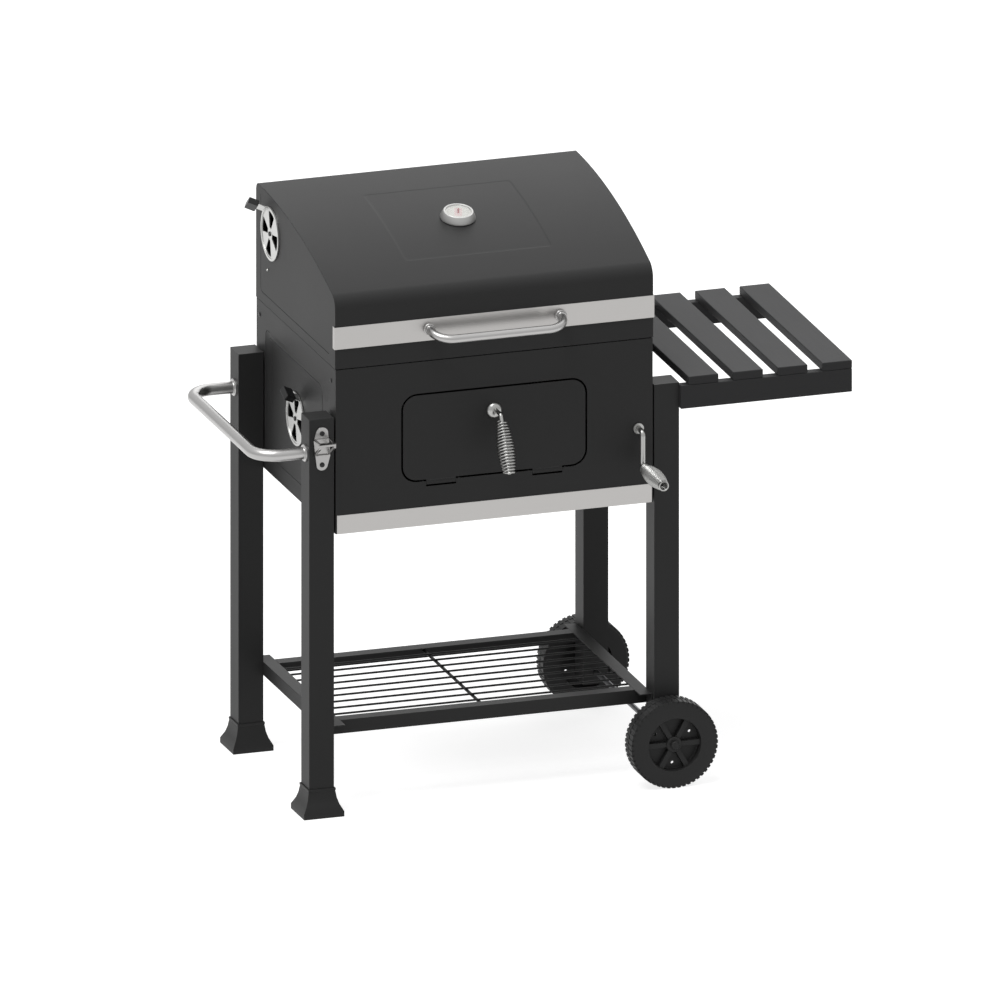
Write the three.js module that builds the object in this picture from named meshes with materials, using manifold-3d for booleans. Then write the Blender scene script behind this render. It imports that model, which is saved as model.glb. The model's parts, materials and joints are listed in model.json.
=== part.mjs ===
// Charcoal grill cart: a firebox with a hinged hood on four square legs, two of them on feet and two on
// an axle with wheels, with a slatted side shelf, a wire bottom shelf and a crank that lifts the fire pan.
// Millimetres. X runs across the grill, Y from the front panel to the back, Z up from the ground.
import * as THREE from "three";
import { mergeVertices } from "three/addons/utils/BufferGeometryUtils.js";
import Module from "manifold-3d";

const wasm = await Module();
wasm.setup();

// ---------------------------------------------------------------- driving dimensions

const sheet = 1; // steel sheet of the firebox and the hood
const seat = 0.3; // gap where one piece sits on or in another
const running = 0.3; // radial gap round a pin or a shaft that turns

const firebox = { width: 612, depth: 460, bottom: 540, top: 855.6 };
const grateLedge = { below: 18, reach: 12 }; // under the firebox's top edge, and into the firebox
const lowerTrim = { width: 608, height: 36 };

const leg = { side: 48, wall: 1.2, top: 765, standoff: 3, bossRadius: 8, bossHeights: [600, 730] };
const foot = { side: 78, height: 53, rim: 10, collar: 53, floor: 8 };

const rail = { flange: 25, height: 26, thickness: 2, top: 168 };
const crossRailInset = 39; // from the legs' front faces to the front cross rail
const shelfWire = { diameter: 4, count: 9, tieDiameter: 6, margin: 24 };

const wheel = { radius: 83.5, width: 43, dishRadius: 50, dishDepth: 14, webThickness: 5, hubRadius: 15 };
const wheelRib = { count: 6, width: 10, setBack: 6 };
const wheelHole = { radius: 3, circle: 38 };
const wheelSideGap = 6; // from the leg's face to the wheel
const axle = { radius: 5, stickOut: 3 };
const axleCap = { radius: 8, length: 6, wall: 1.7, chamfer: 1.5 };
const wheelLegBottom = 60;

const shelf = { reach: 331, front: -10, length: 482, beam: 20, beamHeight: 45, slatThickness: 16 };
const slat = { count: 4, width: 58, gap: 28 };

const pullHandle = { radius: 11.25, height: 695, reach: 91, bend: 45, collarRadius: 16.5, collar: 4 };
const opener = { height: 707.5, holeSpacing: 60, width: 32, ear: 8, thickness: 2.5, reach: 36, hole: 2.6 };

const hood = { width: 614, lip: 0.4, crownRadius: 1240, crown: 1084, brow: 29, heel: 15 };
const hoodTrim = { low: 895.5, high: 938.4, thickness: 1.5, overhang: 1.7, wrap: 10 };
const hoodHandle = { radius: 8, halfWidth: 127, height: 920, reach: 47, drop: 11, bend: 36 };
const hoodHandleCollar = { radius: 11, length: 12 };
const hinge = { across: 200, width: 40, back: 8, above: 6.4, pin: 2.5, knuckle: 5 };
const hingeLeafPlate = { thickness: 2.5, height: 32 };

const gauge = { back: 210, baseRadius: 33, topRadius: 27.5, height: 15, dialRadius: 24, recess: 3 };
const probe = { radius: 3, length: 60 };
const needle = { length: 17, width: 1.6, thickness: 0.8, hub: 2.2 };

const vent = { radius: 51, thickness: 1.5, rim: 4.5, rimHeight: 1.2, inner: 12, outer: 43, sector: 42 };
const ventTab = { width: 20, length: 33, lean: 62 };
const ventKnob = { start: 15, length: 20, width: 28, thickness: 12 };
const ventRivet = { shank: 3, head: 4.5, headHeight: 1.5 };
const lowerVent = { y: 230, z: 692.5, tab: 113, window: 10 };
const upperVent = { y: 374, z: 1004, tab: 51, window: 12 };

const door = { halfWidth: 176, low: 628, high: 791, corner: 27, gap: 3.5 };
const doorTab = { centre: 102.5, width: 57, drop: 10 };
const doorPin = { radius: 2, back: 5, knuckle: 3.6, earWidth: 3, earGap: 1 };
const doorHandle = { height: 748, boss: 15, bossDepth: 8, rod: 4, forward: 34 };
const latch = { reach: 52, width: 10, behind: 2.5 };
const doorGrip = { tilt: 28, length: 104 };

const crank = { x: 278, z: 685, rod: 5, forward: 26, arm: 66, bend: 8, coupling: 14 };
const crankBush = { flange: 10, flangeDepth: 3, barrel: 8 };
const grip = { end: 10, belly: 16.5, length: 112, wall: 2, ferrule: 4, core: 12 };
const lift = { module: 2, teeth: 12, turn: 360, face: 12, tooth: 0.34, tip: 1.7, root: 2.3 };
const coupling = { radius: 9, length: 24 };
const pan = { left: 290, wall: 1, front: 20, height: 55, bottom: 703, slots: 6, slot: [360, 14] };
const liftRack = { front: 60, plate: 2, foot: 16, head: 4 };
const ashTray = { side: 285, front: 20, height: 25, wall: 0.8 };
const grate = { bar: 5, frame: 6, count: 13, gap: 6, side: 8 };

// ---------------------------------------------------------------- materials

const material = (color, roughness, metalness) =>
  new THREE.MeshStandardMaterial({ color, roughness, metalness });
const blackPaint = material(0x363636, 0.55, 0.2);
const shelfPaint = material(0x3a3a3a, 0.6, 0.0);
const blackPlastic = material(0x2c2c2c, 0.6, 0.0);
const brushedSteel = material(0xbfbcb9, 0.38, 0.9);
const brightSteel = material(0xcfcfcf, 0.22, 1.0);
const plainSteel = material(0x6f6f6f, 0.5, 0.8);
const needleRed = material(0xa03028, 0.5, 0.0);

// ---------------------------------------------------------------- solids

const radians = THREE.MathUtils.degToRad;
const middle = ([low, high]) => (low + high) / 2;

function box(x, y, z) {
  const shape = new THREE.BoxGeometry(x[1] - x[0], y[1] - y[0], z[1] - z[0]);
  return shape.translate(middle(x), middle(y), middle(z));
}

// A ring of points round the origin; its flat sides lie on the radius, so a mating bore stays clear.
function polygon(radius, sides) {
  const step = (2 * Math.PI) / sides;
  return Array.from({ length: sides }, (_, i) => {
    const angle = (i + 0.5) * step;
    return new THREE.Vector2(radius * Math.cos(angle), radius * Math.sin(angle));
  });
}

function extrude(outline, depth, holes = []) {
  const shape = Array.isArray(outline) ? new THREE.Shape(outline) : outline;
  shape.holes.push(...holes);
  return new THREE.ExtrudeGeometry(shape, { depth, bevelEnabled: false, curveSegments: 4 });
}

// A flat outline given in (x, z), as a plate that starts at y and runs towards the back.
function plateXZ(outline, y, depth, holes) {
  return extrude(outline, depth, holes)
    .rotateX(Math.PI / 2)
    .translate(0, y + depth, 0);
}

// A flat outline given in (y, z), as a plate that starts at x and runs to the right.
function plateYZ(outline, x, depth, holes) {
  const turn = new THREE.Matrix4().set(0, 0, 1, x, 1, 0, 0, 0, 0, 1, 0, 0, 0, 0, 0, 1);
  return extrude(outline, depth, holes).applyMatrix4(turn);
}

function roundX(radius, x, y, z, sides = 16) {
  return plateYZ(polygon(radius, sides), x[0], x[1] - x[0]).translate(0, y, z);
}

function roundY(radius, x, y, z, sides = 16) {
  return plateXZ(polygon(radius, sides), y[0], y[1] - y[0]).translate(x, 0, z);
}

// A profile of [radius, height] pairs turned about +Z; it starts and ends on the axis or closes itself.
function turned(profile, sides = 24, startAngle = 0) {
  const points = profile.map(([radius, height]) => new THREE.Vector2(radius, height));
  return new THREE.LatheGeometry(points, sides, startAngle).rotateX(Math.PI / 2);
}

// A centre line through straight runs and round bends, with stations only where it turns.
class BentLine extends THREE.Curve {
  constructor(corners, bend, steps = 6) {
    super();
    this.stations = [];
    corners.forEach((corner, i) => {
      const before = corners[i - 1];
      const after = corners[i + 1];
      if (!before || !after) {
        const way = before ? corner.clone().sub(before) : after.clone().sub(corner);
        this.stations.push({ point: corner, way: way.normalize() });
      } else {
        this.stations.push(...BentLine.bendAt(before, corner, after, bend, steps));
      }
    });
  }

  static bendAt(before, corner, after, bend, steps) {
    const inward = corner.clone().sub(before).normalize();
    const outward = after.clone().sub(corner).normalize();
    const turn = inward.angleTo(outward);
    const side = outward.clone().addScaledVector(inward, -inward.dot(outward)).normalize();
    const start = corner.clone().addScaledVector(inward, -bend * Math.tan(turn / 2));
    const centre = start.clone().addScaledVector(side, bend);
    return Array.from({ length: steps + 1 }, (_, i) => {
      const angle = (turn * i) / steps;
      const point = centre
        .clone()
        .addScaledVector(side, -bend * Math.cos(angle))
        .addScaledVector(inward, bend * Math.sin(angle));
      const way = inward.clone().multiplyScalar(Math.cos(angle)).addScaledVector(side, Math.sin(angle));
      return { point, way };
    });
  }

  station(u) {
    return this.stations[Math.round(u * (this.stations.length - 1))];
  }

  getPoint(u, target = new THREE.Vector3()) {
    return target.copy(this.station(u).point);
  }

  getTangentAt(u, target = new THREE.Vector3()) {
    return target.copy(this.station(u).way);
  }

  getSpacedPoints() {
    return this.stations.map(({ point }) => point.clone());
  }
}

function bentRod(radius, corners, bend, sides = 12, steps = 6) {
  const line = new BentLine(corners.map((c) => new THREE.Vector3(...c)), bend, steps);
  return new THREE.ExtrudeGeometry(new THREE.Shape(polygon(radius, sides)), {
    extrudePath: line,
    steps: line.stations.length - 1,
    bevelEnabled: false,
  });
}

function solid(geometry) {
  const bare = new THREE.BufferGeometry().setAttribute("position", geometry.getAttribute("position"));
  bare.setIndex(geometry.index);
  const merged = mergeVertices(bare, 1e-4);
  const mesh = new wasm.Mesh({
    numProp: 3,
    vertProperties: merged.attributes.position.array,
    triVerts: new Uint32Array(merged.index.array),
  });
  return new wasm.Manifold(mesh);
}

function geometryOf(manifold) {
  const { vertProperties, triVerts } = manifold.getMesh();
  const geometry = new THREE.BufferGeometry();
  geometry.setAttribute("position", new THREE.BufferAttribute(new Float32Array(vertProperties), 3));
  geometry.setIndex(new THREE.BufferAttribute(new Uint32Array(triVerts), 1));
  return geometry;
}

const join = (...pieces) => geometryOf(pieces.map(solid).reduce((a, b) => a.add(b)));

function cut(base, ...tools) {
  return geometryOf(tools.map(solid).reduce((rest, tool) => rest.subtract(tool), solid(base)));
}

// ---------------------------------------------------------------- assembly

const grill = new THREE.Group();
const assembly = new THREE.Group();
grill.add(assembly);

function add(name, finish, geometry, parent = assembly) {
  const mesh = new THREE.Mesh(geometry, finish);
  mesh.name = name;
  parent.add(mesh);
  return mesh;
}

// The two sides or ends that a piece is repeated on.
const sides = [
  ["left", -1],
  ["right", 1],
];

// ---------------------------------------------------------------- shared places

const bodySide = firebox.width / 2;
const innerSide = bodySide - sheet;
const innerBack = firebox.depth - sheet;
const ledgeTop = firebox.top - grateLedge.below;
const legInner = bodySide + leg.standoff;
const legOuter = legInner + leg.side;
const legRows = { front: [0, leg.side], back: [firebox.depth - 1 - leg.side, firebox.depth - 1] };
const legMiddle = { x: (legInner + legOuter) / 2, front: middle(legRows.front), back: middle(legRows.back) };
const hoodBottom = firebox.top + hood.lip;
const hoodSide = hood.width / 2;

// ---------------------------------------------------------------- door and its opening

const hingeLine = { y: doorPin.back, z: door.low - doorTab.drop + doorPin.radius };

// The door's outline with its two hinge tabs, grown outwards by the gap for the opening.
function doorOutline(grow) {
  const right = door.halfWidth + grow;
  const low = door.low - grow;
  const high = door.high + grow;
  const r = door.corner + grow;
  const tabLow = door.low - doorTab.drop - grow;
  const tabHalf = doorTab.width / 2 + grow;
  const shape = new THREE.Shape();
  shape.moveTo(-right + r, low);
  for (const centre of [-doorTab.centre, doorTab.centre]) {
    shape.lineTo(centre - tabHalf, low);
    shape.lineTo(centre - tabHalf, tabLow);
    shape.lineTo(centre + tabHalf, tabLow);
    shape.lineTo(centre + tabHalf, low);
  }
  shape.lineTo(right - r, low);
  shape.absarc(right - r, low + r, r, -Math.PI / 2, 0);
  shape.absarc(right - r, high - r, r, 0, Math.PI / 2);
  shape.absarc(-right + r, high - r, r, Math.PI / 2, Math.PI);
  shape.absarc(-right + r, low + r, r, Math.PI, 1.5 * Math.PI);
  return shape;
}

const handleHole = doorHandle.rod + running;

function doorPanel() {
  const knuckles = [-1, 1].map((way) => {
    const half = doorTab.width / 2 - doorPin.earGap;
    const x = [way * doorTab.centre - half, way * doorTab.centre + half];
    return join(
      roundX(doorPin.knuckle, x, hingeLine.y, hingeLine.z, 12),
      box(x, [sheet / 2, hingeLine.y], [hingeLine.z - doorPin.radius, hingeLine.z + doorPin.radius]),
    );
  });
  const reach = doorTab.centre + doorTab.width;
  return cut(
    join(plateXZ(doorOutline(0), 0, sheet), ...knuckles),
    roundX(doorPin.radius + running, [-reach, reach], hingeLine.y, hingeLine.z, 12),
    roundY(handleHole, 0, [-1, 2 * sheet], doorHandle.height),
  );
}

// Ears on the front panel's inner side, beside each hinge tab, carry the door's pin.
const doorEarOffsets = [-1, 1].map((way) => (way * doorTab.width) / 2 + way * (door.gap + doorPin.earWidth));
const doorEars = [-1, 1].flatMap((way) =>
  doorEarOffsets.map((offset) => {
    const middleX = way * doorTab.centre + offset;
    return [middleX - doorPin.earWidth / 2, middleX + doorPin.earWidth / 2];
  }),
);
const doorPinEnd = Math.max(...doorEars.flat()) + 2;

function fireboxFront() {
  const panel = box([-bodySide, bodySide], [0, sheet], [firebox.bottom, firebox.top]);
  const ledgeDepth = [sheet / 2, sheet + grateLedge.reach];
  const ledge = box([-innerSide, innerSide], ledgeDepth, [ledgeTop - sheet, ledgeTop]);
  const half = doorPin.knuckle + 2;
  const ears = doorEars.map((x) =>
    box(x, [sheet / 2, hingeLine.y + half], [hingeLine.z - half, hingeLine.z + half]),
  );
  return cut(
    join(panel, ledge, ...ears),
    plateXZ(doorOutline(door.gap), -1, sheet + 1.001),
    roundX(doorPin.radius + running, [-doorPinEnd - 5, doorPinEnd + 5], hingeLine.y, hingeLine.z, 12),
    roundY(crankBush.barrel + seat, crank.x, [-1, sheet + 1], crank.z, 20),
  );
}

// ---------------------------------------------------------------- firebox

function ventWindow(place, inner, outer, turn) {
  const half = radians(vent.sector / 2);
  const at = radians(turn);
  const path = new THREE.Path();
  path.absarc(place.y, place.z, outer, at - half, at + half);
  path.absarc(place.y, place.z, inner, at + half, at - half, true);
  path.closePath();
  return path;
}

const ventWindows = (place) =>
  [0, 90, 180, 270].map((turn) => ventWindow(place, vent.inner, vent.outer, place.window + turn));

function rivetHole(place) {
  const points = polygon(ventRivet.shank + running, 12);
  points.forEach((point) => point.add(new THREE.Vector2(place.y, place.z)));
  return new THREE.Path(points);
}

const fireboxBack = () =>
  cut(
    join(
      box([-bodySide, bodySide], [innerBack, firebox.depth], [firebox.bottom, firebox.top]),
      box(
        [-innerSide, innerSide],
        [innerBack - grateLedge.reach, firebox.depth - sheet / 2],
        [ledgeTop - sheet, ledgeTop],
      ),
      roundY(coupling.radius + 3, crank.x, [innerBack - 10, firebox.depth - sheet / 2], crank.z, 20),
    ),
    roundY(crank.rod + running, crank.x, [innerBack - 11, innerBack - 2], crank.z),
  );

function sideOutline() {
  const y = [sheet, innerBack];
  const corners = [
    [y[0], firebox.bottom],
    [y[1], firebox.bottom],
    [y[1], firebox.top],
    [y[0], firebox.top],
  ];
  return corners.map(([a, b]) => new THREE.Vector2(a, b));
}

add("firebox_front", blackPaint, fireboxFront());
add("firebox_back", blackPaint, fireboxBack());
const lowerVentHoles = [...ventWindows(lowerVent), rivetHole(lowerVent)];
add("firebox_left", blackPaint, plateYZ(sideOutline(), -bodySide, sheet, lowerVentHoles));
add("firebox_right", blackPaint, plateYZ(sideOutline(), innerSide, sheet));
add(
  "firebox_floor",
  blackPaint,
  box([-innerSide, innerSide], [sheet, innerBack], [firebox.bottom, firebox.bottom + sheet]),
);
add(
  "lower_trim",
  brushedSteel,
  box(
    [-lowerTrim.width / 2, lowerTrim.width / 2],
    [-hoodTrim.overhang, hoodTrim.thickness - hoodTrim.overhang],
    [firebox.bottom, firebox.bottom + lowerTrim.height],
  ),
);

// ---------------------------------------------------------------- legs and feet

const axleHeight = wheel.radius;

function legTube(way, row, bottom, tools) {
  const x = [legMiddle.x - leg.side / 2, legMiddle.x + leg.side / 2];
  const y = legRows[row];
  const hollow = ([low, high]) => [low + leg.wall, high - leg.wall];
  const bosses = leg.bossHeights.map((z) => roundX(leg.bossRadius, [bodySide, legInner + 1], middle(y), z));
  const tube = cut(
    join(box(x, y, [bottom, leg.top]), ...bosses),
    box(hollow(x), hollow(y), [bottom - 1, leg.top - leg.wall]),
    ...tools,
  );
  if (way > 0) return tube;
  return geometryOf(solid(tube).mirror([1, 0, 0]));
}

for (const row of ["front", "back"]) {
  add(`leg_${row}_left`, blackPaint, legTube(-1, row, foot.floor, []));
  const hole = roundY(
    axle.radius + seat,
    legMiddle.x,
    [legRows[row][0] - 1, legRows[row][1] + 1],
    axleHeight,
  );
  add(`leg_${row}_right`, blackPaint, legTube(1, row, wheelLegBottom, [hole]));
}

// A square foot: a flared skirt up to a collar round the leg, with a socket that the leg stands in.
function footCap() {
  const half = foot.side / 2;
  const collar = foot.collar / 2;
  const socket = leg.side / 2 + seat;
  const flare = [0.35, 0.65, 0.85].map((t) => [
    half + (collar - half) * (1 - (1 - t) ** 2),
    foot.rim + (foot.height - foot.rim - 5) * t,
  ]);
  const profile = [
    [0, 0],
    [half, 0],
    [half, foot.rim],
    ...flare,
    [collar - 0.8, foot.height - 5],
    [collar, foot.height - 4],
    [collar, foot.height],
    [socket, foot.height],
    [socket, foot.floor],
    [0, foot.floor],
  ];
  const corner = profile.map(([side, height]) => [side * Math.SQRT2, height]);
  return turned(corner, 4, Math.PI / 4);
}

for (const row of ["front", "back"]) {
  add(`foot_${row}_left`, blackPlastic, footCap()).position.set(-legMiddle.x, legMiddle[row], 0);
}

// ---------------------------------------------------------------- bottom shelf

const railBottom = rail.top - rail.height;
const railInner = legInner - rail.flange;
const railEnds = [legRows.front[0] + 9, legRows.back[1] - 9];
const crossRows = {
  front: [crossRailInset, crossRailInset + rail.flange],
  back: [legRows.back[1] - crossRailInset - rail.flange, legRows.back[1] - crossRailInset],
};
const railFlange = [rail.top - rail.thickness, rail.top];

for (const [side, way] of sides) {
  const web = [way * legInner, way * (legInner - rail.thickness)].sort((a, b) => a - b);
  const flange = [way * legInner, way * railInner].sort((a, b) => a - b);
  add(
    `rail_${side}`,
    blackPaint,
    join(box(web, railEnds, [railBottom, rail.top]), box(flange, railEnds, railFlange)),
  );
}

for (const [row, y] of Object.entries(crossRows)) {
  const web = row === "front" ? [y[0], y[0] + rail.thickness] : [y[1] - rail.thickness, y[1]];
  const x = [-railInner, railInner];
  const webEnd = legInner - rail.thickness - seat;
  add(
    `rail_${row}`,
    blackPaint,
    join(
      box([-webEnd, webEnd], web, [railBottom, railFlange[0] - seat]),
      box(x, web, [railBottom, rail.top]),
      box(x, y, railFlange),
    ),
  );
}

function wireShelf() {
  const radius = shelfWire.diameter / 2;
  const height = railFlange[0] - seat - radius;
  const first = crossRows.front[1] + shelfWire.margin;
  const last = crossRows.back[0] - shelfWire.margin;
  const wires = Array.from({ length: shelfWire.count }, (_, i) => {
    const y = first + ((last - first) * i) / (shelfWire.count - 1);
    const end = legInner - rail.thickness - 4;
    return roundX(radius, [-end, end], y, height, 6);
  });
  const tieHeight = height - radius - shelfWire.tieDiameter / 2 + 0.8;
  const ends = [crossRows.front[0] + rail.thickness + 4, crossRows.back[1] - rail.thickness - 4];
  return join(roundY(shelfWire.tieDiameter / 2, 0, ends, tieHeight, 6), ...wires);
}

add("wire_shelf", blackPaint, wireShelf());

// ---------------------------------------------------------------- wheels

// A moulded wheel that lies in its own frame with its outer face at height 0, looking up.
function wheelBody() {
  const { radius, width, dishRadius, dishDepth, webThickness, hubRadius } = wheel;
  const bore = axle.radius + running;
  const chamfer = 5;
  const profile = [
    [bore, -width],
    [hubRadius, -width],
    [hubRadius, -dishDepth - webThickness],
    [dishRadius, -dishDepth - webThickness],
    [dishRadius, -width],
    [radius - chamfer, -width],
    [radius, -width + chamfer],
    [radius, -chamfer],
    [radius - chamfer, 0],
    [dishRadius, 0],
    [dishRadius, -dishDepth],
    [hubRadius, -dishDepth],
    [hubRadius, -wheelRib.setBack / 2],
    [bore, -wheelRib.setBack / 2],
    [bore, -width],
  ];
  const rib = box(
    [hubRadius - 1, dishRadius + 1],
    [-wheelRib.width / 2, wheelRib.width / 2],
    [-dishDepth - 1, -wheelRib.setBack],
  );
  const step = (2 * Math.PI) / wheelRib.count;
  const ribs = Array.from({ length: wheelRib.count }, (_, i) => rib.clone().rotateZ(i * step));
  const hole = extrude(polygon(wheelHole.radius, 6), dishDepth + 2 * webThickness)
    .translate(wheelHole.circle, 0, -dishDepth - 2 * webThickness);
  const holes = Array.from({ length: wheelRib.count }, (_, i) => hole.clone().rotateZ((i + 0.5) * step));
  return cut(join(turned(profile, 32), ...ribs), ...holes);
}

function capBody() {
  const socket = axle.radius + seat;
  return turned(
    [
      [socket, 0],
      [axleCap.radius, 0],
      [axleCap.radius, axleCap.length - axleCap.chamfer],
      [axleCap.radius - axleCap.chamfer, axleCap.length],
      [0, axleCap.length],
      [0, axleCap.length - axleCap.wall],
      [socket, axleCap.length - axleCap.wall],
      [socket, 0],
    ],
    16,
  );
}

const wheelFaces = {
  front: legRows.front[0] - wheelSideGap - wheel.width,
  back: legRows.back[1] + wheelSideGap + wheel.width,
};
const hubSetBack = wheelRib.setBack / 2;

for (const [row, face] of Object.entries(wheelFaces)) {
  const outward = row === "front" ? 1 : -1;
  const place = new THREE.Group();
  place.position.set(legMiddle.x, face, axleHeight);
  place.rotation.x = (outward * Math.PI) / 2;
  assembly.add(place);
  add(`wheel_${row}`, blackPlastic, wheelBody(), place);
  add(`axle_cap_${row}`, blackPlastic, capBody(), place).position.z = seat - hubSetBack;
}

add(
  "wheel_axle",
  plainSteel,
  roundY(
    axle.radius,
    legMiddle.x,
    [wheelFaces.front + hubSetBack - axle.stickOut, wheelFaces.back - hubSetBack + axle.stickOut],
    axleHeight,
  ),
);

// ---------------------------------------------------------------- side shelf

const shelfEnd = legOuter + shelf.reach;
const shelfBack = shelf.front + shelf.length;
const slatBottom = leg.top - 4;

for (const [row, y] of [
  ["front", [shelf.front, shelf.front + shelf.beam]],
  ["back", [shelfBack - shelf.beam, shelfBack]],
]) {
  add(
    `shelf_beam_${row}`,
    shelfPaint,
    box([legOuter, shelfEnd], y, [slatBottom - shelf.beamHeight, slatBottom]),
  );
}

for (let i = 0; i < slat.count; i += 1) {
  const right = shelfEnd - (slat.count - 1 - i) * (slat.width + slat.gap);
  const slatHeights = [slatBottom, slatBottom + shelf.slatThickness];
  add(
    `shelf_slat_${i + 1}`,
    shelfPaint,
    box([right - slat.width, right], [shelf.front, shelfBack], slatHeights),
  );
}

// ---------------------------------------------------------------- pull handle and bottle opener

function pullHandleBar() {
  const out = -legOuter - pullHandle.reach;
  const start = -legOuter - pullHandle.collar / 2;
  const rows = [legMiddle.front, legMiddle.back];
  const corners = [
    [start, rows[0], pullHandle.height],
    [out, rows[0], pullHandle.height],
    [out, rows[1], pullHandle.height],
    [start, rows[1], pullHandle.height],
  ];
  const collars = rows.map((y) =>
    roundX(pullHandle.collarRadius, [-legOuter - pullHandle.collar, -legOuter], y, pullHandle.height, 20),
  );
  return join(bentRod(pullHandle.radius, corners, pullHandle.bend, 14), ...collars);
}

add("pull_handle", brightSteel, pullHandleBar());

// A wall-mounted opener: a plate with two screwed ears and a cap hook that stands out of it.
function openerBody() {
  const half = opener.width / 2;
  const holeZ = opener.holeSpacing / 2;
  const shape = new THREE.Shape();
  shape.absarc(0, holeZ, opener.ear, Math.PI * 0.1, Math.PI * 0.9);
  shape.lineTo(-half, holeZ - 12);
  shape.lineTo(-half, -holeZ + 22);
  shape.absarc(0, -holeZ, opener.ear, Math.PI * 1.05, Math.PI * 1.95);
  shape.lineTo(half, -holeZ + 22);
  shape.lineTo(half, holeZ - 12);
  const plate = plateXZ(shape, -opener.thickness, opener.thickness);
  const wedge = [
    [-1, holeZ - 12],
    [-opener.reach + 3, holeZ - 13],
    [-opener.reach, holeZ - 16],
    [-opener.reach, holeZ - 21],
    [-1, -holeZ + 22],
  ].map(([y, z]) => new THREE.Vector2(y, z));
  const mouth = box([-half + 4, half - 4], [-opener.reach + 9, -opener.thickness - 1], [-holeZ, holeZ]);
  const hook = cut(plateYZ(wedge, -half, opener.width), mouth);
  const holes = [-holeZ, holeZ].map((z) => roundY(opener.hole, 0, [-opener.reach, 1], z, 12));
  return cut(join(plate, hook), ...holes);
}

add("bottle_opener", brushedSteel, openerBody()).position.set(-legMiddle.x, 0, opener.height);

// ---------------------------------------------------------------- hood

// The hood's outer line in (y, z), from the front edge over the top to the back edge, moved in by inset.
function hoodLine(inset) {
  const { crownRadius, crown, brow, heel } = hood;
  const crownZ = crown - crownRadius;
  const browZ = crownZ + Math.sqrt((crownRadius - brow) ** 2 - (firebox.depth - brow) ** 2);
  const heelZ = crownZ + Math.sqrt((crownRadius - heel) ** 2 - heel ** 2);
  const browTurn = Math.asin((firebox.depth - brow) / (crownRadius - brow));
  const heelTurn = Math.asin(heel / (crownRadius - heel));
  const arc = (y, z, radius, from, to, steps) =>
    Array.from({ length: steps + 1 }, (_, i) => {
      const angle = from + ((to - from) * i) / steps;
      return new THREE.Vector2(y - radius * Math.sin(angle), z + radius * Math.cos(angle));
    });
  return [
    new THREE.Vector2(inset, hoodBottom),
    ...arc(brow, browZ, brow - inset, Math.PI / 2, browTurn, 6),
    ...arc(firebox.depth, crownZ, crownRadius - inset, browTurn, heelTurn, 14).slice(1, -1),
    ...arc(firebox.depth - heel, heelZ, heel - inset, heelTurn, -Math.PI / 2, 5),
    new THREE.Vector2(firebox.depth - inset, hoodBottom),
  ];
}

const gaugeTurn = Math.asin((firebox.depth - gauge.back) / hood.crownRadius);
const crownZ = hood.crown - hood.crownRadius;
const gaugePlace = new THREE.Group();
gaugePlace.position.set(0, gauge.back, crownZ + hood.crownRadius * Math.cos(gaugeTurn));
gaugePlace.rotation.x = gaugeTurn;
assembly.add(gaugePlace);

function hoodShell() {
  const skin = [...hoodLine(0), ...hoodLine(sheet).reverse()];
  const hole = extrude(polygon(probe.radius + seat, 12), 20)
    .translate(0, 0, -10)
    .rotateX(gaugeTurn)
    .translate(...gaugePlace.position);
  return cut(plateYZ(skin, -hoodSide, hood.width), hole);
}

add("hood_shell", blackPaint, hoodShell());
for (const [side, way] of sides) {
  const x = way < 0 ? -hoodSide : hoodSide - sheet;
  const holes = way < 0 ? [...ventWindows(upperVent), rivetHole(upperVent)] : [];
  add(`hood_cheek_${side}`, blackPaint, plateYZ(hoodLine(sheet + seat), x, sheet, holes));
}

function hoodTrimBand() {
  const z = [hoodTrim.low, hoodTrim.high];
  const out = hoodSide + seat + hoodTrim.thickness;
  const face = [-hoodTrim.overhang, hoodTrim.thickness - hoodTrim.overhang];
  const wraps = sides.map(([, way]) => {
    const x = [way * out, way * (out - hoodTrim.thickness)].sort((a, b) => a - b);
    return box(x, [face[0], hoodTrim.wrap], z);
  });
  return join(box([-out, out], face, z), ...wraps);
}

add("hood_trim", brushedSteel, hoodTrimBand());

function hoodHandleBar() {
  const front = -hoodTrim.overhang - seat;
  const { halfWidth, height, reach, drop, bend } = hoodHandle;
  const start = front - hoodHandleCollar.length / 2;
  const corners = [
    [-halfWidth, start, height],
    [-halfWidth, -reach, height - drop],
    [halfWidth, -reach, height - drop],
    [halfWidth, start, height],
  ];
  const collars = [-halfWidth, halfWidth].map((x) =>
    roundY(hoodHandleCollar.radius, x, [front - hoodHandleCollar.length, front], height - 1, 20),
  );
  return join(bentRod(hoodHandle.radius, corners, bend, 14, 7), ...collars);
}

add("hood_handle", brightSteel, hoodHandleBar());

// ---------------------------------------------------------------- hood hinges

const hingeAxis = { y: firebox.depth + hinge.back, z: firebox.top + hinge.above };
const middleKnuckle = hinge.width / 6;

function hingeBase(centre) {
  const half = hinge.width / 2;
  const x = [centre - half, centre + half];
  const plateHeights = [firebox.top - hingeLeafPlate.height, firebox.top];
  const plate = box(x, [firebox.depth, firebox.depth + hingeLeafPlate.thickness], plateHeights);
  const knuckles = [-1, 1].flatMap((way) => {
    const ends = [centre + way * half, centre + way * (middleKnuckle + seat)].sort((a, b) => a - b);
    return [
      roundX(hinge.knuckle, ends, hingeAxis.y, hingeAxis.z),
      box(
        ends,
        [firebox.depth, hingeAxis.y],
        [firebox.top - hingeLeafPlate.thickness, hingeAxis.z - hinge.pin],
      ),
    ];
  });
  return join(plate, ...knuckles, roundX(hinge.pin, x, hingeAxis.y, hingeAxis.z, 12));
}

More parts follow.
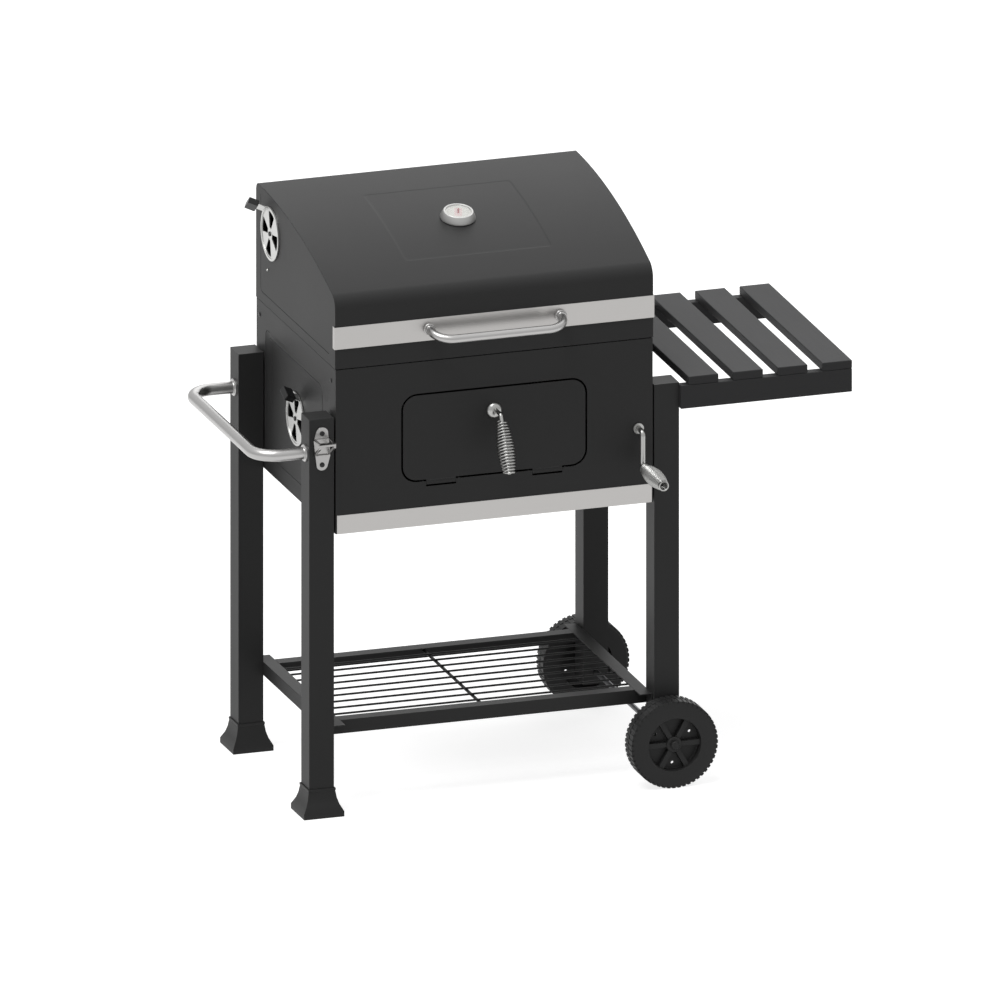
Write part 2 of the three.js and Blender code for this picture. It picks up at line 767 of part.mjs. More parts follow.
function hingeLeaf(centre) {
  const half = hinge.width / 2;
  const plate = box(
    [centre - half, centre + half],
    [firebox.depth, firebox.depth + hingeLeafPlate.thickness],
    [hingeAxis.z + hinge.knuckle, hingeAxis.z + hinge.knuckle + hingeLeafPlate.height],
  );
  const x = [centre - middleKnuckle, centre + middleKnuckle];
  const knuckle = roundX(hinge.knuckle, x, hingeAxis.y, hingeAxis.z);
  const arm = box(
    x,
    [firebox.depth, hingeAxis.y],
    [hingeAxis.z + hinge.pin, hingeAxis.z + hinge.knuckle + hingeLeafPlate.thickness],
  );
  return cut(join(plate, knuckle, arm), roundX(hinge.pin + running, x, hingeAxis.y, hingeAxis.z, 12));
}

for (const [side, way] of sides) {
  add(`hinge_base_${side}`, plainSteel, hingeBase(way * hinge.across));
  add(`hinge_leaf_${side}`, plainSteel, hingeLeaf(way * hinge.across));
}

// ---------------------------------------------------------------- thermometer

const dialHeight = gauge.height - gauge.recess;

add(
  "thermometer_bezel",
  brightSteel,
  turned(
    [
      [0, -probe.length],
      [probe.radius, -probe.length],
      [probe.radius, seat],
      [gauge.baseRadius, seat],
      [gauge.baseRadius, 3],
      [gauge.topRadius, gauge.height],
      [gauge.dialRadius, gauge.height],
      [gauge.dialRadius, dialHeight],
      [0, dialHeight],
    ],
    28,
  ),
  gaugePlace,
);

add(
  "thermometer_needle",
  needleRed,
  join(
    box([-needle.width / 2, needle.width / 2], [-needle.hub * 2, needle.length], [0, needle.thickness]),
    extrude(polygon(needle.hub, 12), needle.thickness * 1.5),
  ),
  gaugePlace,
).position.z = dialHeight + seat;

// ---------------------------------------------------------------- air vents

// A vent disc that turns on the outer face of a left-hand panel, with a leaning tab for its knob.
function addVent(name, place, face) {
  const circle = (radius) =>
    polygon(radius, 28).map((point) => point.add(new THREE.Vector2(place.y, place.z)));
  const rimHole = new THREE.Path(circle(vent.radius - vent.rim));
  const outerFace = face - seat - vent.thickness;
  const holes = [...ventWindows(place), rivetHole(place)];
  const disc = plateYZ(circle(vent.radius), outerFace, vent.thickness, holes);
  const rim = plateYZ(
    circle(vent.radius),
    outerFace - vent.rimHeight,
    vent.rimHeight + vent.thickness / 2,
    [rimHole],
  );

  // In the tab's own frame +Z runs along the tab and Y across it.
  const tabFrame = new THREE.Matrix4()
    .makeTranslation(outerFace, place.y, place.z)
    .multiply(new THREE.Matrix4().makeRotationX(radians(place.tab - 90)))
    .multiply(new THREE.Matrix4().makeTranslation(0, 0, vent.radius - vent.rim / 2))
    .multiply(new THREE.Matrix4().makeRotationY(-radians(ventTab.lean)));
  const inTab = (geometry) => geometry.applyMatrix4(tabFrame);
  const half = ventTab.width / 2;
  const tab = inTab(box([0, vent.thickness], [-half, half], [0, ventTab.length]));
  add(`${name}_disc`, brushedSteel, join(disc, rim, tab));

  const spread = (ventKnob.thickness - vent.thickness) / 2;
  const knob = inTab(
    box(
      [-spread, vent.thickness + spread],
      [-ventKnob.width / 2, ventKnob.width / 2],
      [ventKnob.start, ventKnob.start + ventKnob.length],
    ),
  );
  const socket = inTab(
    box(
      [-seat, vent.thickness + seat],
      [-half - seat, half + seat],
      [ventKnob.start - 1, ventTab.length + seat],
    ),
  );
  add(`${name}_knob`, blackPlastic, cut(knob, socket));

  const outside = outerFace - running;
  const inside = face + sheet + seat;
  add(
    `${name}_rivet`,
    blackPaint,
    turned(
      [
        [0, 0],
        [ventRivet.head, 0],
        [ventRivet.head, ventRivet.headHeight],
        [ventRivet.shank, ventRivet.headHeight],
        [ventRivet.shank, ventRivet.headHeight + inside - outside],
        [ventRivet.head, ventRivet.headHeight + inside - outside],
        [ventRivet.head, 2 * ventRivet.headHeight + inside - outside],
        [0, 2 * ventRivet.headHeight + inside - outside],
      ],
      12,
    )
      .rotateY(Math.PI / 2)
      .translate(outside - ventRivet.headHeight, place.y, place.z),
  );
}

addVent("lower_vent", lowerVent, -bodySide);
addVent("upper_vent", upperVent, -hoodSide);

// ---------------------------------------------------------------- door with its pin and handle

add("door_panel", blackPaint, doorPanel());
add(
  "door_hinge_pin",
  plainSteel,
  roundX(doorPin.radius, [-doorPinEnd, doorPinEnd], hingeLine.y, hingeLine.z, 12),
);

// The handle turns in the door: boss and bent rod outside, and a latch tongue inside, released at rest.
const gripStart = [-doorHandle.forward - 8, doorHandle.height - 6];
const gripTilt = radians(doorGrip.tilt);

function doorHandleBody() {
  const { height, rod, boss, bossDepth } = doorHandle;
  const way = [0, -Math.sin(gripTilt), -Math.cos(gripTilt)];
  const along = (distance) => [0, gripStart[0] + way[1] * distance, gripStart[1] + way[2] * distance];
  const bendCorner = along(-10);
  const stalk = bentRod(rod, [[0, -2, bendCorner[2]], bendCorner, along(grip.core)], 6, 10, 4);
  const dome = turned(
    [
      [0, 0],
      [boss, 0],
      [boss * 0.93, bossDepth * 0.4],
      [boss * 0.7, bossDepth * 0.8],
      [rod, bossDepth],
      [0, bossDepth],
    ],
    20,
  )
    .rotateX(Math.PI / 2)
    .translate(0, -seat, height);
  const tongueFront = sheet + latch.behind;
  const shaft = roundY(rod, 0, [-1, tongueFront + 3], height);
  const tongueHeights = [height - latch.width / 2, height + latch.width / 2];
  const tongue = box([-latch.reach, 6], [tongueFront, tongueFront + sheet], tongueHeights);
  return join(stalk, dome, shaft, tongue);
}

// A hollow barrel that bellies out between its ends, with a ferrule at the start that the rod runs into.
function gripBarrel(length, rodRadius) {
  const { end, belly, wall, ferrule } = grip;
  const steps = 8;
  const bulge = (inset) =>
    Array.from({ length: steps + 1 }, (_, i) => {
      const t = i / steps;
      return [end - inset + (belly - end) * Math.sin(Math.PI * t), ferrule + (length - ferrule) * t];
    });
  const bore = [rodRadius + seat, 0];
  return turned([bore, [end, 0], ...bulge(0), ...bulge(wall).reverse(), [bore[0], ferrule], bore], 12);
}

add("door_handle", brightSteel, doorHandleBody());
const doorGripMesh = add("door_grip", brightSteel, gripBarrel(doorGrip.length, doorHandle.rod));
doorGripMesh.position.set(0, ...gripStart);
doorGripMesh.rotation.x = Math.PI - gripTilt;

// ---------------------------------------------------------------- crank and fire pan lift

const pitchRadius = (lift.module * lift.teeth) / 2;
const pitch = Math.PI * lift.module;
const shaftStart = crank.coupling + seat;
const rackFace = [liftRack.front, liftRack.front + lift.face];
const rackFaces = [rackFace, [firebox.depth - rackFace[1], firebox.depth - rackFace[0]]];
const rackPitchX = crank.x - pitchRadius;
const panRight = rackPitchX - lift.root - liftRack.foot + liftRack.plate;

add(
  "crank_bush",
  plainSteel,
  cut(
    join(
      roundY(crankBush.flange, crank.x, [-seat - crankBush.flangeDepth, -seat], crank.z, 20),
      roundY(crankBush.barrel, crank.x, [-seat - 1, sheet + 2], crank.z, 20),
    ),
    roundY(crank.rod + running, crank.x, [-10, 10], crank.z),
  ),
);

const crankEnd = crank.z - crank.arm;
const crankGripStart = -crank.forward - crank.bend - 4;
add(
  "crank_arm",
  brightSteel,
  bentRod(
    crank.rod,
    [
      [crank.x, crank.coupling, crank.z],
      [crank.x, -crank.forward, crank.z],
      [crank.x, -crank.forward, crankEnd],
      [crank.x, crankGripStart - grip.core, crankEnd],
    ],
    crank.bend,
    12,
    5,
  ),
);

const crankGrip = add("crank_grip", brightSteel, gripBarrel(grip.length, crank.rod));
crankGrip.position.set(crank.x, crankGripStart, crankEnd);
crankGrip.rotation.x = Math.PI / 2;

// One tooth as a trapezium on the pitch line, pointing along +X from the root to the tip.
function tooth() {
  const half = lift.tooth * pitch;
  return [
    [-lift.root - 1, -half * 0.75],
    [lift.tip, -half * 0.42],
    [lift.tip, half * 0.42],
    [-lift.root - 1, half * 0.75],
  ].map(([x, z]) => new THREE.Vector2(x, z));
}

function pinion(y) {
  const core = roundY(pitchRadius - lift.root, 0, y, 0, 12);
  const teeth = Array.from({ length: lift.teeth }, (_, i) => {
    const turn = Math.PI + (i * 2 * Math.PI) / lift.teeth;
    return plateXZ(tooth(), y[0], y[1] - y[0]).translate(pitchRadius, 0, 0).rotateY(turn);
  });
  return join(core, ...teeth).translate(crank.x, 0, crank.z);
}

function liftShaft() {
  const sleeve = [sheet + 5, sheet + 5 + coupling.length];
  const shaftEnd = innerBack - 2 - seat;
  return cut(
    join(
      roundY(crank.rod, crank.x, [shaftStart, shaftEnd], crank.z),
      roundY(coupling.radius, crank.x, sleeve, crank.z),
      ...rackFaces.map(pinion),
    ),
    roundY(crank.rod + seat, crank.x, [sleeve[0] - 1, shaftStart], crank.z),
  );
}

add("lift_shaft", plainSteel, liftShaft());

// The racks hang from a plate on the pan's right-hand end; a gap between teeth faces each pinion tooth.
function liftRackBody() {
  const travel = radians(lift.turn) * pitchRadius;
  const gaps = Math.ceil(travel / pitch) + 2;
  const top = crank.z + 1.5 * pitch;
  const bottom = crank.z - (gaps - 0.5) * pitch;
  const rootX = rackPitchX - lift.root;
  const backX = rootX - liftRack.head;
  const racks = rackFaces.map((y) => {
    const bar = box([backX, rootX], y, [bottom, pan.bottom + pan.height]);
    const teeth = [];
    for (let z = crank.z + pitch / 2; z > bottom + pitch / 2; z -= pitch) {
      teeth.push(plateXZ(tooth(), y[0], y[1] - y[0]).translate(rackPitchX, 0, z));
    }
    return join(bar, ...teeth);
  });
  const plate = box(
    [panRight + seat, panRight + seat + liftRack.plate],
    [rackFaces[0][0], rackFaces[1][1]],
    [pan.bottom, pan.bottom + pan.height],
  );
  const arms = rackFaces.map((y) =>
    box([panRight + seat, backX + 1], y, [Math.max(top, pan.bottom), pan.bottom + pan.height]),
  );
  return join(plate, ...arms, ...racks);
}

add("lift_rack", plainSteel, liftRackBody());

function firePan() {
  const x = [-pan.left, panRight];
  const y = [pan.front, firebox.depth - pan.front];
  const shrink = ([low, high]) => [low + pan.wall, high - pan.wall];
  const guides = rackFaces.map((face) =>
    box([-innerSide + 2 * seat, x[0] + 1], face, [pan.bottom, pan.bottom + pan.height]),
  );
  const slots = Array.from({ length: pan.slots }, (_, i) => {
    const middleX = middle(x);
    const z = [pan.bottom - 1, pan.bottom + 2 * pan.wall];
    const slotY = y[0] + ((y[1] - y[0]) * (i + 1)) / (pan.slots + 1);
    return box(
      [middleX - pan.slot[0] / 2, middleX + pan.slot[0] / 2],
      [slotY - pan.slot[1] / 2, slotY + pan.slot[1] / 2],
      z,
    );
  });
  return cut(
    join(box(x, y, [pan.bottom, pan.bottom + pan.height]), ...guides),
    box(shrink(x), shrink(y), [pan.bottom + pan.wall, pan.bottom + pan.height + 1]),
    ...slots,
  );
}

add("fire_pan", plainSteel, firePan());

// ---------------------------------------------------------------- ash tray and cooking grates

function ashTrayBody() {
  const x = [-ashTray.side, ashTray.side];
  const y = [ashTray.front, firebox.depth - ashTray.front];
  const bottom = firebox.bottom + sheet + seat;
  const shrink = ([low, high]) => [low + ashTray.wall, high - ashTray.wall];
  return cut(
    box(x, y, [bottom, bottom + ashTray.height]),
    box(shrink(x), shrink(y), [bottom + ashTray.wall, bottom + ashTray.height + 1]),
  );
}

add("ash_tray", plainSteel, ashTrayBody());

// A half-width grate of parallel bars in a frame, lying on the front and back ledges.
function grateBody(way) {
  const x = [way * (grate.gap / 2), way * (innerSide - grate.side)].sort((a, b) => a - b);
  const y = [sheet + 2, innerBack - 2];
  const z = [ledgeTop + seat, ledgeTop + seat + grate.frame];
  const f = grate.frame;
  const frame = cut(
    box(x, y, z),
    box([x[0] + f, x[1] - f], [y[0] + f, y[1] - f], [z[0] - 1, z[1] + 1]),
  );
  const span = x[1] - x[0];
  const bars = Array.from({ length: grate.count }, (_, i) => {
    const centre = x[0] + f / 2 + ((span - f) * (i + 1)) / (grate.count + 1);
    return box(
      [centre - grate.bar / 2, centre + grate.bar / 2],
      [y[0] + f / 2, y[1] - f / 2],
      [z[1] - grate.bar, z[1]],
    );
  });
  return join(frame, ...bars);
}

for (const [side, way] of sides) {
  add(`cooking_grate_${side}`, plainSteel, grateBody(way));
}

// ---------------------------------------------------------------- the part's own frame

// The origin is the middle of the whole grill's footprint, on the ground.
const extent = new THREE.Box3().setFromObject(grill, true);
const centre = extent.getCenter(new THREE.Vector3());
assembly.position.set(-centre.x, -centre.y, -extent.min.z);

export default grill;
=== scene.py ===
import json
import math

import bmesh
import bpy
from mathutils import Matrix, Vector


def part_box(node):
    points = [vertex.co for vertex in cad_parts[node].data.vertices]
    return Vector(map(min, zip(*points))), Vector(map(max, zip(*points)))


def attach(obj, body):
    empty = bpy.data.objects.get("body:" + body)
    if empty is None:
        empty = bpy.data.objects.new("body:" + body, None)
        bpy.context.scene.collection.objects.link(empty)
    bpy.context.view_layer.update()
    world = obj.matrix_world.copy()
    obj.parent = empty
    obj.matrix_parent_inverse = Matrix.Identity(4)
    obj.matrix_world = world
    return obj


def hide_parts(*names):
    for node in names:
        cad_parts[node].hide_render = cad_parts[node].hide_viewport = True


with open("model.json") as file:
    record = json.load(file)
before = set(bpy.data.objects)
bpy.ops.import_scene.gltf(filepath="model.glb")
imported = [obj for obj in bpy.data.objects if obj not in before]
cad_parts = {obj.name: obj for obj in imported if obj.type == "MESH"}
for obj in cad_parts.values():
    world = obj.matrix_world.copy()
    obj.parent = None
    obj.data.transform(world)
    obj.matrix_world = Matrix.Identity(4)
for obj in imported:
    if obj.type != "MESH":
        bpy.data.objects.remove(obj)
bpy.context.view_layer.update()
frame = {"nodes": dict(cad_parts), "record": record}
record = frame["record"]

# Shapes are drawn in millimetres from the firebox: X from its middle, Y from its front face towards the
# back, Z up from the ground. TO_PART takes them to the part's own frame, in metres.
MM = 0.001
panel_low, panel_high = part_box("firebox_front")
TO_PART = Matrix.Translation(((panel_low.x + panel_high.x) / 2, panel_low.y, 0)) @ Matrix.Scale(MM, 4)
FROM_PART = TO_PART.inverted()

BODY_OF = {node: body for body, nodes in record["behaviour"]["bodies"].items() for node in nodes}
SLOT_OF = {row["node"]: row["material_slot"] for row in record["subparts"]}
JOINT_AT = {
    row["name"]: FROM_PART @ Vector(row["pos_m"])
    for row in record["behaviour"]["joints"]
    if "pos_m" in row
}


def corners(node):
    """The node's lowest and highest corner, in the drawing's millimetres."""
    low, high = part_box(node)
    return FROM_PART @ low, FROM_PART @ high


# ------------------------------------------------------------------ materials


def surface(name, color, roughness, metallic=0.0, specular=0.5, grain=(900, 900, 900), tint=0.08,
            rough_swing=0.06, bump=0.15, depth=0.00005, patch=6.0, anisotropic=0.0, coat=0.0):
    """A material whose colour, roughness and relief vary with a fine grain and with broad patches."""
    made = bpy.data.materials.new(name)
    made.use_nodes = True
    nodes, links = made.node_tree.nodes, made.node_tree.links
    shader = nodes["Principled BSDF"]
    shader.inputs["Metallic"].default_value = metallic
    shader.inputs["Specular IOR Level"].default_value = specular
    shader.inputs["Anisotropic"].default_value = anisotropic
    shader.inputs["Coat Weight"].default_value = coat
    shader.inputs["Coat Roughness"].default_value = 0.25
    place = nodes.new("ShaderNodeTexCoord")
    stretch = nodes.new("ShaderNodeMapping")
    stretch.inputs["Scale"].default_value = grain
    fine = nodes.new("ShaderNodeTexNoise")
    fine.inputs["Scale"].default_value = 1.0
    fine.inputs["Detail"].default_value = 3.0
    broad = nodes.new("ShaderNodeTexNoise")
    broad.inputs["Scale"].default_value = patch
    broad.inputs["Detail"].default_value = 2.0
    both = nodes.new("ShaderNodeMath")
    both.operation = "MULTIPLY_ADD"
    both.inputs[1].default_value = 0.6
    share = nodes.new("ShaderNodeMath")
    share.operation = "MULTIPLY"
    share.inputs[1].default_value = 0.4
    shade = nodes.new("ShaderNodeMix")
    shade.data_type = "RGBA"
    shade.inputs["A"].default_value = [c * (1 - tint) for c in color] + [1]
    shade.inputs["B"].default_value = [min(1, c * (1 + tint)) for c in color] + [1]
    rough = nodes.new("ShaderNodeMapRange")
    rough.inputs["To Min"].default_value = roughness - rough_swing
    rough.inputs["To Max"].default_value = roughness + rough_swing
    relief = nodes.new("ShaderNodeBump")
    relief.inputs["Strength"].default_value = bump
    relief.inputs["Distance"].default_value = depth
    links.new(place.outputs["Object"], stretch.inputs["Vector"])
    links.new(place.outputs["Object"], broad.inputs["Vector"])
    links.new(stretch.outputs["Vector"], fine.inputs["Vector"])
    links.new(broad.outputs["Fac"], share.inputs[0])
    links.new(fine.outputs["Fac"], both.inputs[0])
    links.new(share.outputs["Value"], both.inputs[2])
    links.new(both.outputs["Value"], shade.inputs["Factor"])
    links.new(both.outputs["Value"], rough.inputs["Value"])
    links.new(fine.outputs["Fac"], relief.inputs["Height"])
    links.new(shade.outputs["Result"], shader.inputs["Base Color"])
    links.new(rough.outputs["Result"], shader.inputs["Roughness"])
    links.new(relief.outputs["Normal"], shader.inputs["Normal"])
    return made


def glass(name):
    """A nearly clear film, with a polish that varies a little."""
    made = bpy.data.materials.new(name)
    made.use_nodes = True
    nodes, links = made.node_tree.nodes, made.node_tree.links
    shader = nodes["Principled BSDF"]
    shader.inputs["Base Color"].default_value = (1, 1, 1, 1)
    shader.inputs["Alpha"].default_value = 0.1
    shader.inputs["IOR"].default_value = 1.45
    place = nodes.new("ShaderNodeTexCoord")
    smears = nodes.new("ShaderNodeTexNoise")
    smears.inputs["Scale"].default_value = 90.0
    rough = nodes.new("ShaderNodeMapRange")
    rough.inputs["To Min"].default_value = 0.0
    rough.inputs["To Max"].default_value = 0.04
    links.new(place.outputs["Object"], smears.inputs["Vector"])
    links.new(smears.outputs["Fac"], rough.inputs["Value"])
    links.new(rough.outputs["Result"], shader.inputs["Roughness"])
    return made


LOOKS = {
    "black_paint": surface("black_paint", (0.031, 0.031, 0.031), 0.5, specular=0.2),
    "shelf_wood": surface("shelf_wood", (0.034, 0.034, 0.035), 0.55, specular=0.2, grain=(500, 14, 500),
                          tint=0.14, bump=0.35, depth=0.0001),
    "black_plastic": surface("black_plastic", (0.022, 0.022, 0.022), 0.5, specular=0.25, grain=(1500,) * 3),
    "trim_steel": surface("trim_steel", (0.44, 0.43, 0.42), 0.36, 1.0, grain=(6, 1100, 1100), tint=0.03,
                          rough_swing=0.03, bump=0.06, anisotropic=0.5),
    "handle_steel": surface("handle_steel", (0.44, 0.435, 0.43), 0.32, 1.0, grain=(300, 300, 300), tint=0.02,
                            rough_swing=0.02, bump=0.01),
    "grip_steel": surface("grip_steel", (0.4, 0.4, 0.39), 0.28, 1.0, grain=(400, 400, 400), tint=0.04,
                          rough_swing=0.03, bump=0.02),
    "opener_steel": surface("opener_steel", (0.36, 0.355, 0.35), 0.3, 1.0, grain=(400, 400, 400), tint=0.04,
                            bump=0.05),
    "vent_steel": surface("vent_steel", (0.56, 0.56, 0.55), 0.36, 1.0, grain=(900, 900, 30), tint=0.04,
                          bump=0.06),
    "needle": surface("needle", (0.3, 0.03, 0.03), 0.4),
    "pan_enamel": surface("pan_enamel", (0.02, 0.02, 0.021), 0.3, specular=0.5, grain=(300,) * 3, coat=0.3),
    "grate_wire": surface("grate_wire", (0.5, 0.5, 0.5), 0.25, 1.0),
    "plain_steel": surface("plain_steel", (0.14, 0.14, 0.145), 0.42, 1.0, grain=(250,) * 3, tint=0.12,
                           bump=0.06),
}
BUSH_STEEL = surface("bush_steel", (0.4, 0.4, 0.39), 0.35, 1.0, grain=(300,) * 3, tint=0.04, bump=0.02)
BEZEL_STEEL = surface("bezel_steel", (0.5, 0.5, 0.49), 0.46, 1.0, grain=(200,) * 3, tint=0.02, bump=0.0)
KNOB_BLACK = surface("knob_black", (0.009, 0.009, 0.009), 0.35, specular=0.35, grain=(400,) * 3)
DIAL_PAPER = surface("dial_paper", (0.72, 0.72, 0.68), 0.6, grain=(300,) * 3, tint=0.01, bump=0.0)
DIAL_ZONE = surface("dial_zone", (0.74, 0.6, 0.59), 0.6, grain=(300,) * 3, tint=0.02, bump=0.0)
DIAL_INK = surface("dial_ink", (0.45, 0.44, 0.43), 0.6, grain=(300,) * 3, tint=0.02, bump=0.0)
SCREW_BLACK = surface("screw_black", (0.015, 0.015, 0.015), 0.35, 0.4, grain=(800,) * 3)
LENS_GLASS = glass("lens_glass")

# ------------------------------------------------------------------ shapes, in millimetres


def mesh_of(points, faces):
    mesh = bpy.data.meshes.new("shape")
    mesh.from_pydata([tuple(p) for p in points], [], faces)
    mesh.validate()
    return mesh


def merged(*meshes):
    whole = bmesh.new()
    for mesh in meshes:
        whole.from_mesh(mesh)
    made = bpy.data.meshes.new("shape")
    whole.to_mesh(made)
    whole.free()
    return made


def moved(mesh, matrix):
    mesh.transform(matrix)
    return mesh


def outward(mesh):
    """The same closed mesh with every face looking out."""
    shell = bmesh.new()
    shell.from_mesh(mesh)
    bmesh.ops.recalc_face_normals(shell, faces=shell.faces)
    shell.to_mesh(mesh)
    shell.free()
    return mesh


def stacked(rings, loop=False):
    """A closed mesh through rings of equally many points; its two ends are flat, or it closes on itself."""
    count = len(rings[0])
    faces = []
    spans = len(rings) if loop else len(rings) - 1
    for k in range(spans):
        a, b = k * count, ((k + 1) % len(rings)) * count
        faces += [(a + i, a + (i + 1) % count, b + (i + 1) % count, b + i) for i in range(count)]
    if not loop:
        faces.append(tuple(reversed(range(count))))
        faces.append(tuple((len(rings) - 1) * count + i for i in range(count)))
    return outward(mesh_of([p for ring in rings for p in ring], faces))


def box(low, high):
    ring = [(low[0], low[1]), (high[0], low[1]), (high[0], high[1]), (low[0], high[1])]
    return stacked([[(x, y, z) for x, y in ring] for z in (low[2], high[2])])


def plate_yz(outline, x, thickness):
    return stacked([[(at, y, z) for y, z in outline] for at in (x, x + thickness)])


def circle(radius, sides):
    step = 2 * math.pi / sides
    return [(radius * math.cos(i * step), radius * math.sin(i * step)) for i in range(sides)]


def lathe(profile, segments):
    """A profile of (radius, height) pairs turned about Z: it starts and ends on the axis, or is a loop."""
    tiny = 1e-3
    rings = []
    for radius, height in profile:
        rings.append([(x, y, height) for x, y in circle(max(radius, tiny), segments)])
    on_axis = profile[0][0] == 0
    return stacked(rings, loop=not on_axis)


def sweep(path, radius, sides=20):
    """A round bar along a path; radius is one number, or one for each of the path's points."""
    radii = radius if isinstance(radius, list) else [radius] * len(path)
    ways = []
    for i in range(len(path)):
        ways.append((path[min(i + 1, len(path) - 1)] - path[max(i - 1, 0)]).normalized())
    side = ways[0].orthogonal().normalized()
    rings = []
    for point, way, size in zip(path, ways, radii):
        side = (side - way * side.dot(way)).normalized()
        up = way.cross(side)
        rings.append([point + side * x + up * y for x, y in circle(size, sides)])
    return stacked(rings)


def bent(points, bend, steps=12):
    """Points along straight runs with a round bend at each inner corner."""
    points = [Vector(p) for p in points]
    path = [points[0]]
    for before, corner, after in zip(points, points[1:], points[2:]):
        inward, onward = (corner - before).normalized(), (after - corner).normalized()
        turn = inward.angle(onward)
        side = (onward - inward * inward.dot(onward)).normalized()
        start = corner - inward * bend * math.tan(turn / 2)
        middle = start + side * bend
        for i in range(steps + 1):
            angle = turn * i / steps
            path.append(middle - side * bend * math.cos(angle) + inward * bend * math.sin(angle))
    return path + [points[-1]]


def carved(mesh, *tools):
    """The mesh with the tools' volumes cut out of it."""
    target = bpy.data.objects.new("target", mesh)
    tool = bpy.data.objects.new("tool", merged(*tools))
    for part in (target, tool):
        bpy.context.collection.objects.link(part)
    cut = target.modifiers.new("cut", "BOOLEAN")
    cut.object = tool
    cut.solver = "EXACT"
    cut.use_self = True
    bpy.context.view_layer.update()
    result = bpy.data.meshes.new_from_object(target.evaluated_get(bpy.context.evaluated_depsgraph_get()))
    bpy.data.objects.remove(target)
    bpy.data.objects.remove(tool)
    return result


def screw_head(radius, height):
    profile = [(0, -0.5), (radius, -0.5), (radius, height * 0.35), (radius * 0.8, height * 0.8),
               (radius * 0.4, height), (0, height)]
    return lathe(profile, 20)


# ------------------------------------------------------------------ pieces


def piece(name, mesh, body, look, slot, replaces=(), bevel=0.0, segments=2, sharp=35, smooth=True):
    """Puts a mesh drawn in millimetres into the part's frame as a piece that rides on a body."""
    mesh.name = name
    mesh.transform(TO_PART)
    made = bpy.data.objects.new(name, mesh)
    bpy.context.collection.objects.link(made)
    mesh.materials.clear()
    mesh.materials.append(look)
    for face in mesh.polygons:
        face.use_smooth = smooth
        face.material_index = 0
    mesh.set_sharp_from_angle(angle=math.radians(sharp))
    if bevel:
        soften = made.modifiers.new("edges", "BEVEL")
        soften.width = bevel * MM
        soften.segments = segments
        soften.limit_method = "ANGLE"
        soften.angle_limit = math.radians(sharp)
        soften.harden_normals = True
    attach(made, body)
    if replaces:
        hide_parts(*replaces)
    return made


def stand_in(node, mesh, **options):
    """A piece that stands for a CAD node, in the node's own finish."""
    slot = SLOT_OF[node]
    return piece(f"{node}_look", mesh, BODY_OF[node], LOOKS[slot], slot, (node,), **options)


def refined(node, bevel, segments=2, sharp=35, look=None):
    """The CAD node's own shape with its flat facets joined and its edges rounded."""
    shape = bmesh.new()
    shape.from_mesh(frame["nodes"][node].data)
    bmesh.ops.remove_doubles(shape, verts=shape.verts, dist=2e-6)
    bmesh.ops.dissolve_limit(shape, angle_limit=math.radians(0.5), verts=shape.verts, edges=shape.edges)
    shape.verts.index_update()
    mesh = mesh_of([v.co for v in shape.verts], [[v.index for v in f.verts] for f in shape.faces])
    shape.free()
    mesh.transform(FROM_PART)
    made = stand_in(node, mesh, bevel=bevel, segments=segments, sharp=sharp)
    if look:
        made.data.materials[0] = look
    return made


# ------------------------------------------------------------------ firebox

SHEET = 1.0
LEFT_FACE = corners("firebox_left")[0].x
BODY_DEPTH = corners("firebox_back")[1].y

# The side panels: two pressed outlines as a low corner, a high corner and a corner radius, and two grooves.
PRESSED_SIDE = {"outer": ((55, 562), (407, 811), 22), "inner": ((80, 574), (381, 800), 20)}
SIDE_SLOPE = 1.2
SIDE_DEPTH = 0.8
UPPER_GROOVE = [(407, 600), (407, 811), (380, 811)]
LOWER_GROOVE = [(382, 801), (79, 801), (79, 573), (382, 573)]
SIDE_GROOVE = {"radius": 0.85, "upper_bend": 15, "lower_bend": 20}
VENT = {"inner": 12, "outer": 43, "sector": 42, "shank": 3.3, "lower_first": 10, "upper_first": 12}
lower_vent_at = JOINT_AT["lower_vent_turn"]
upper_vent_at = JOINT_AT["upper_vent_turn"]


def vent_windows(at, first, x, thickness):
    """Cutters for the four windows of an air vent and for its rivet, through a panel that starts at x."""
    cutters = []
    steps = 10
    for k in range(4):
        middle = math.radians(first + 90 * k)
        half = math.radians(VENT["sector"] / 2)
        angles = [middle - half + 2 * half * i / steps for i in range(steps + 1)]
        ring = [(VENT["outer"], a) for a in angles] + [(VENT["inner"], a) for a in reversed(angles)]
        outline = [(at.y + r * math.cos(a), at.z + r * math.sin(a)) for r, a in ring]
        cutters.append(plate_yz(outline, x, thickness))
    rivet = [(at.y + y, at.z + z) for y, z in circle(VENT["shank"], 16)]
    cutters.append(plate_yz(rivet, x, thickness))
    return cutters


def rounded(low, high, radius, steps=6):
    """A rectangle with round corners, as (y, z) points."""
    points = []
    turns = [(high[0], high[1]), (low[0], high[1]), (low[0], low[1]), (high[0], low[1])]
    for k, (cy, cz) in enumerate(turns):
        middle_y = cy - radius if cy == high[0] else cy + radius
        middle_z = cz - radius if cz == high[1] else cz + radius
        for i in range(steps + 1):
            angle = math.radians(90 * k + 90 * i / steps)
            points.append((middle_y + radius * math.cos(angle), middle_z + radius * math.sin(angle)))
    return points


def step_down(shape, start, end):
    """The top and the foot of one pressed step, each as an outline and its depth."""
    low, high, corner = shape
    foot_low = [v + SIDE_SLOPE for v in low]
    foot_high = [v - SIDE_SLOPE for v in high]
    return [(rounded(low, high, corner), start), (rounded(foot_low, foot_high, corner - 1), end)]


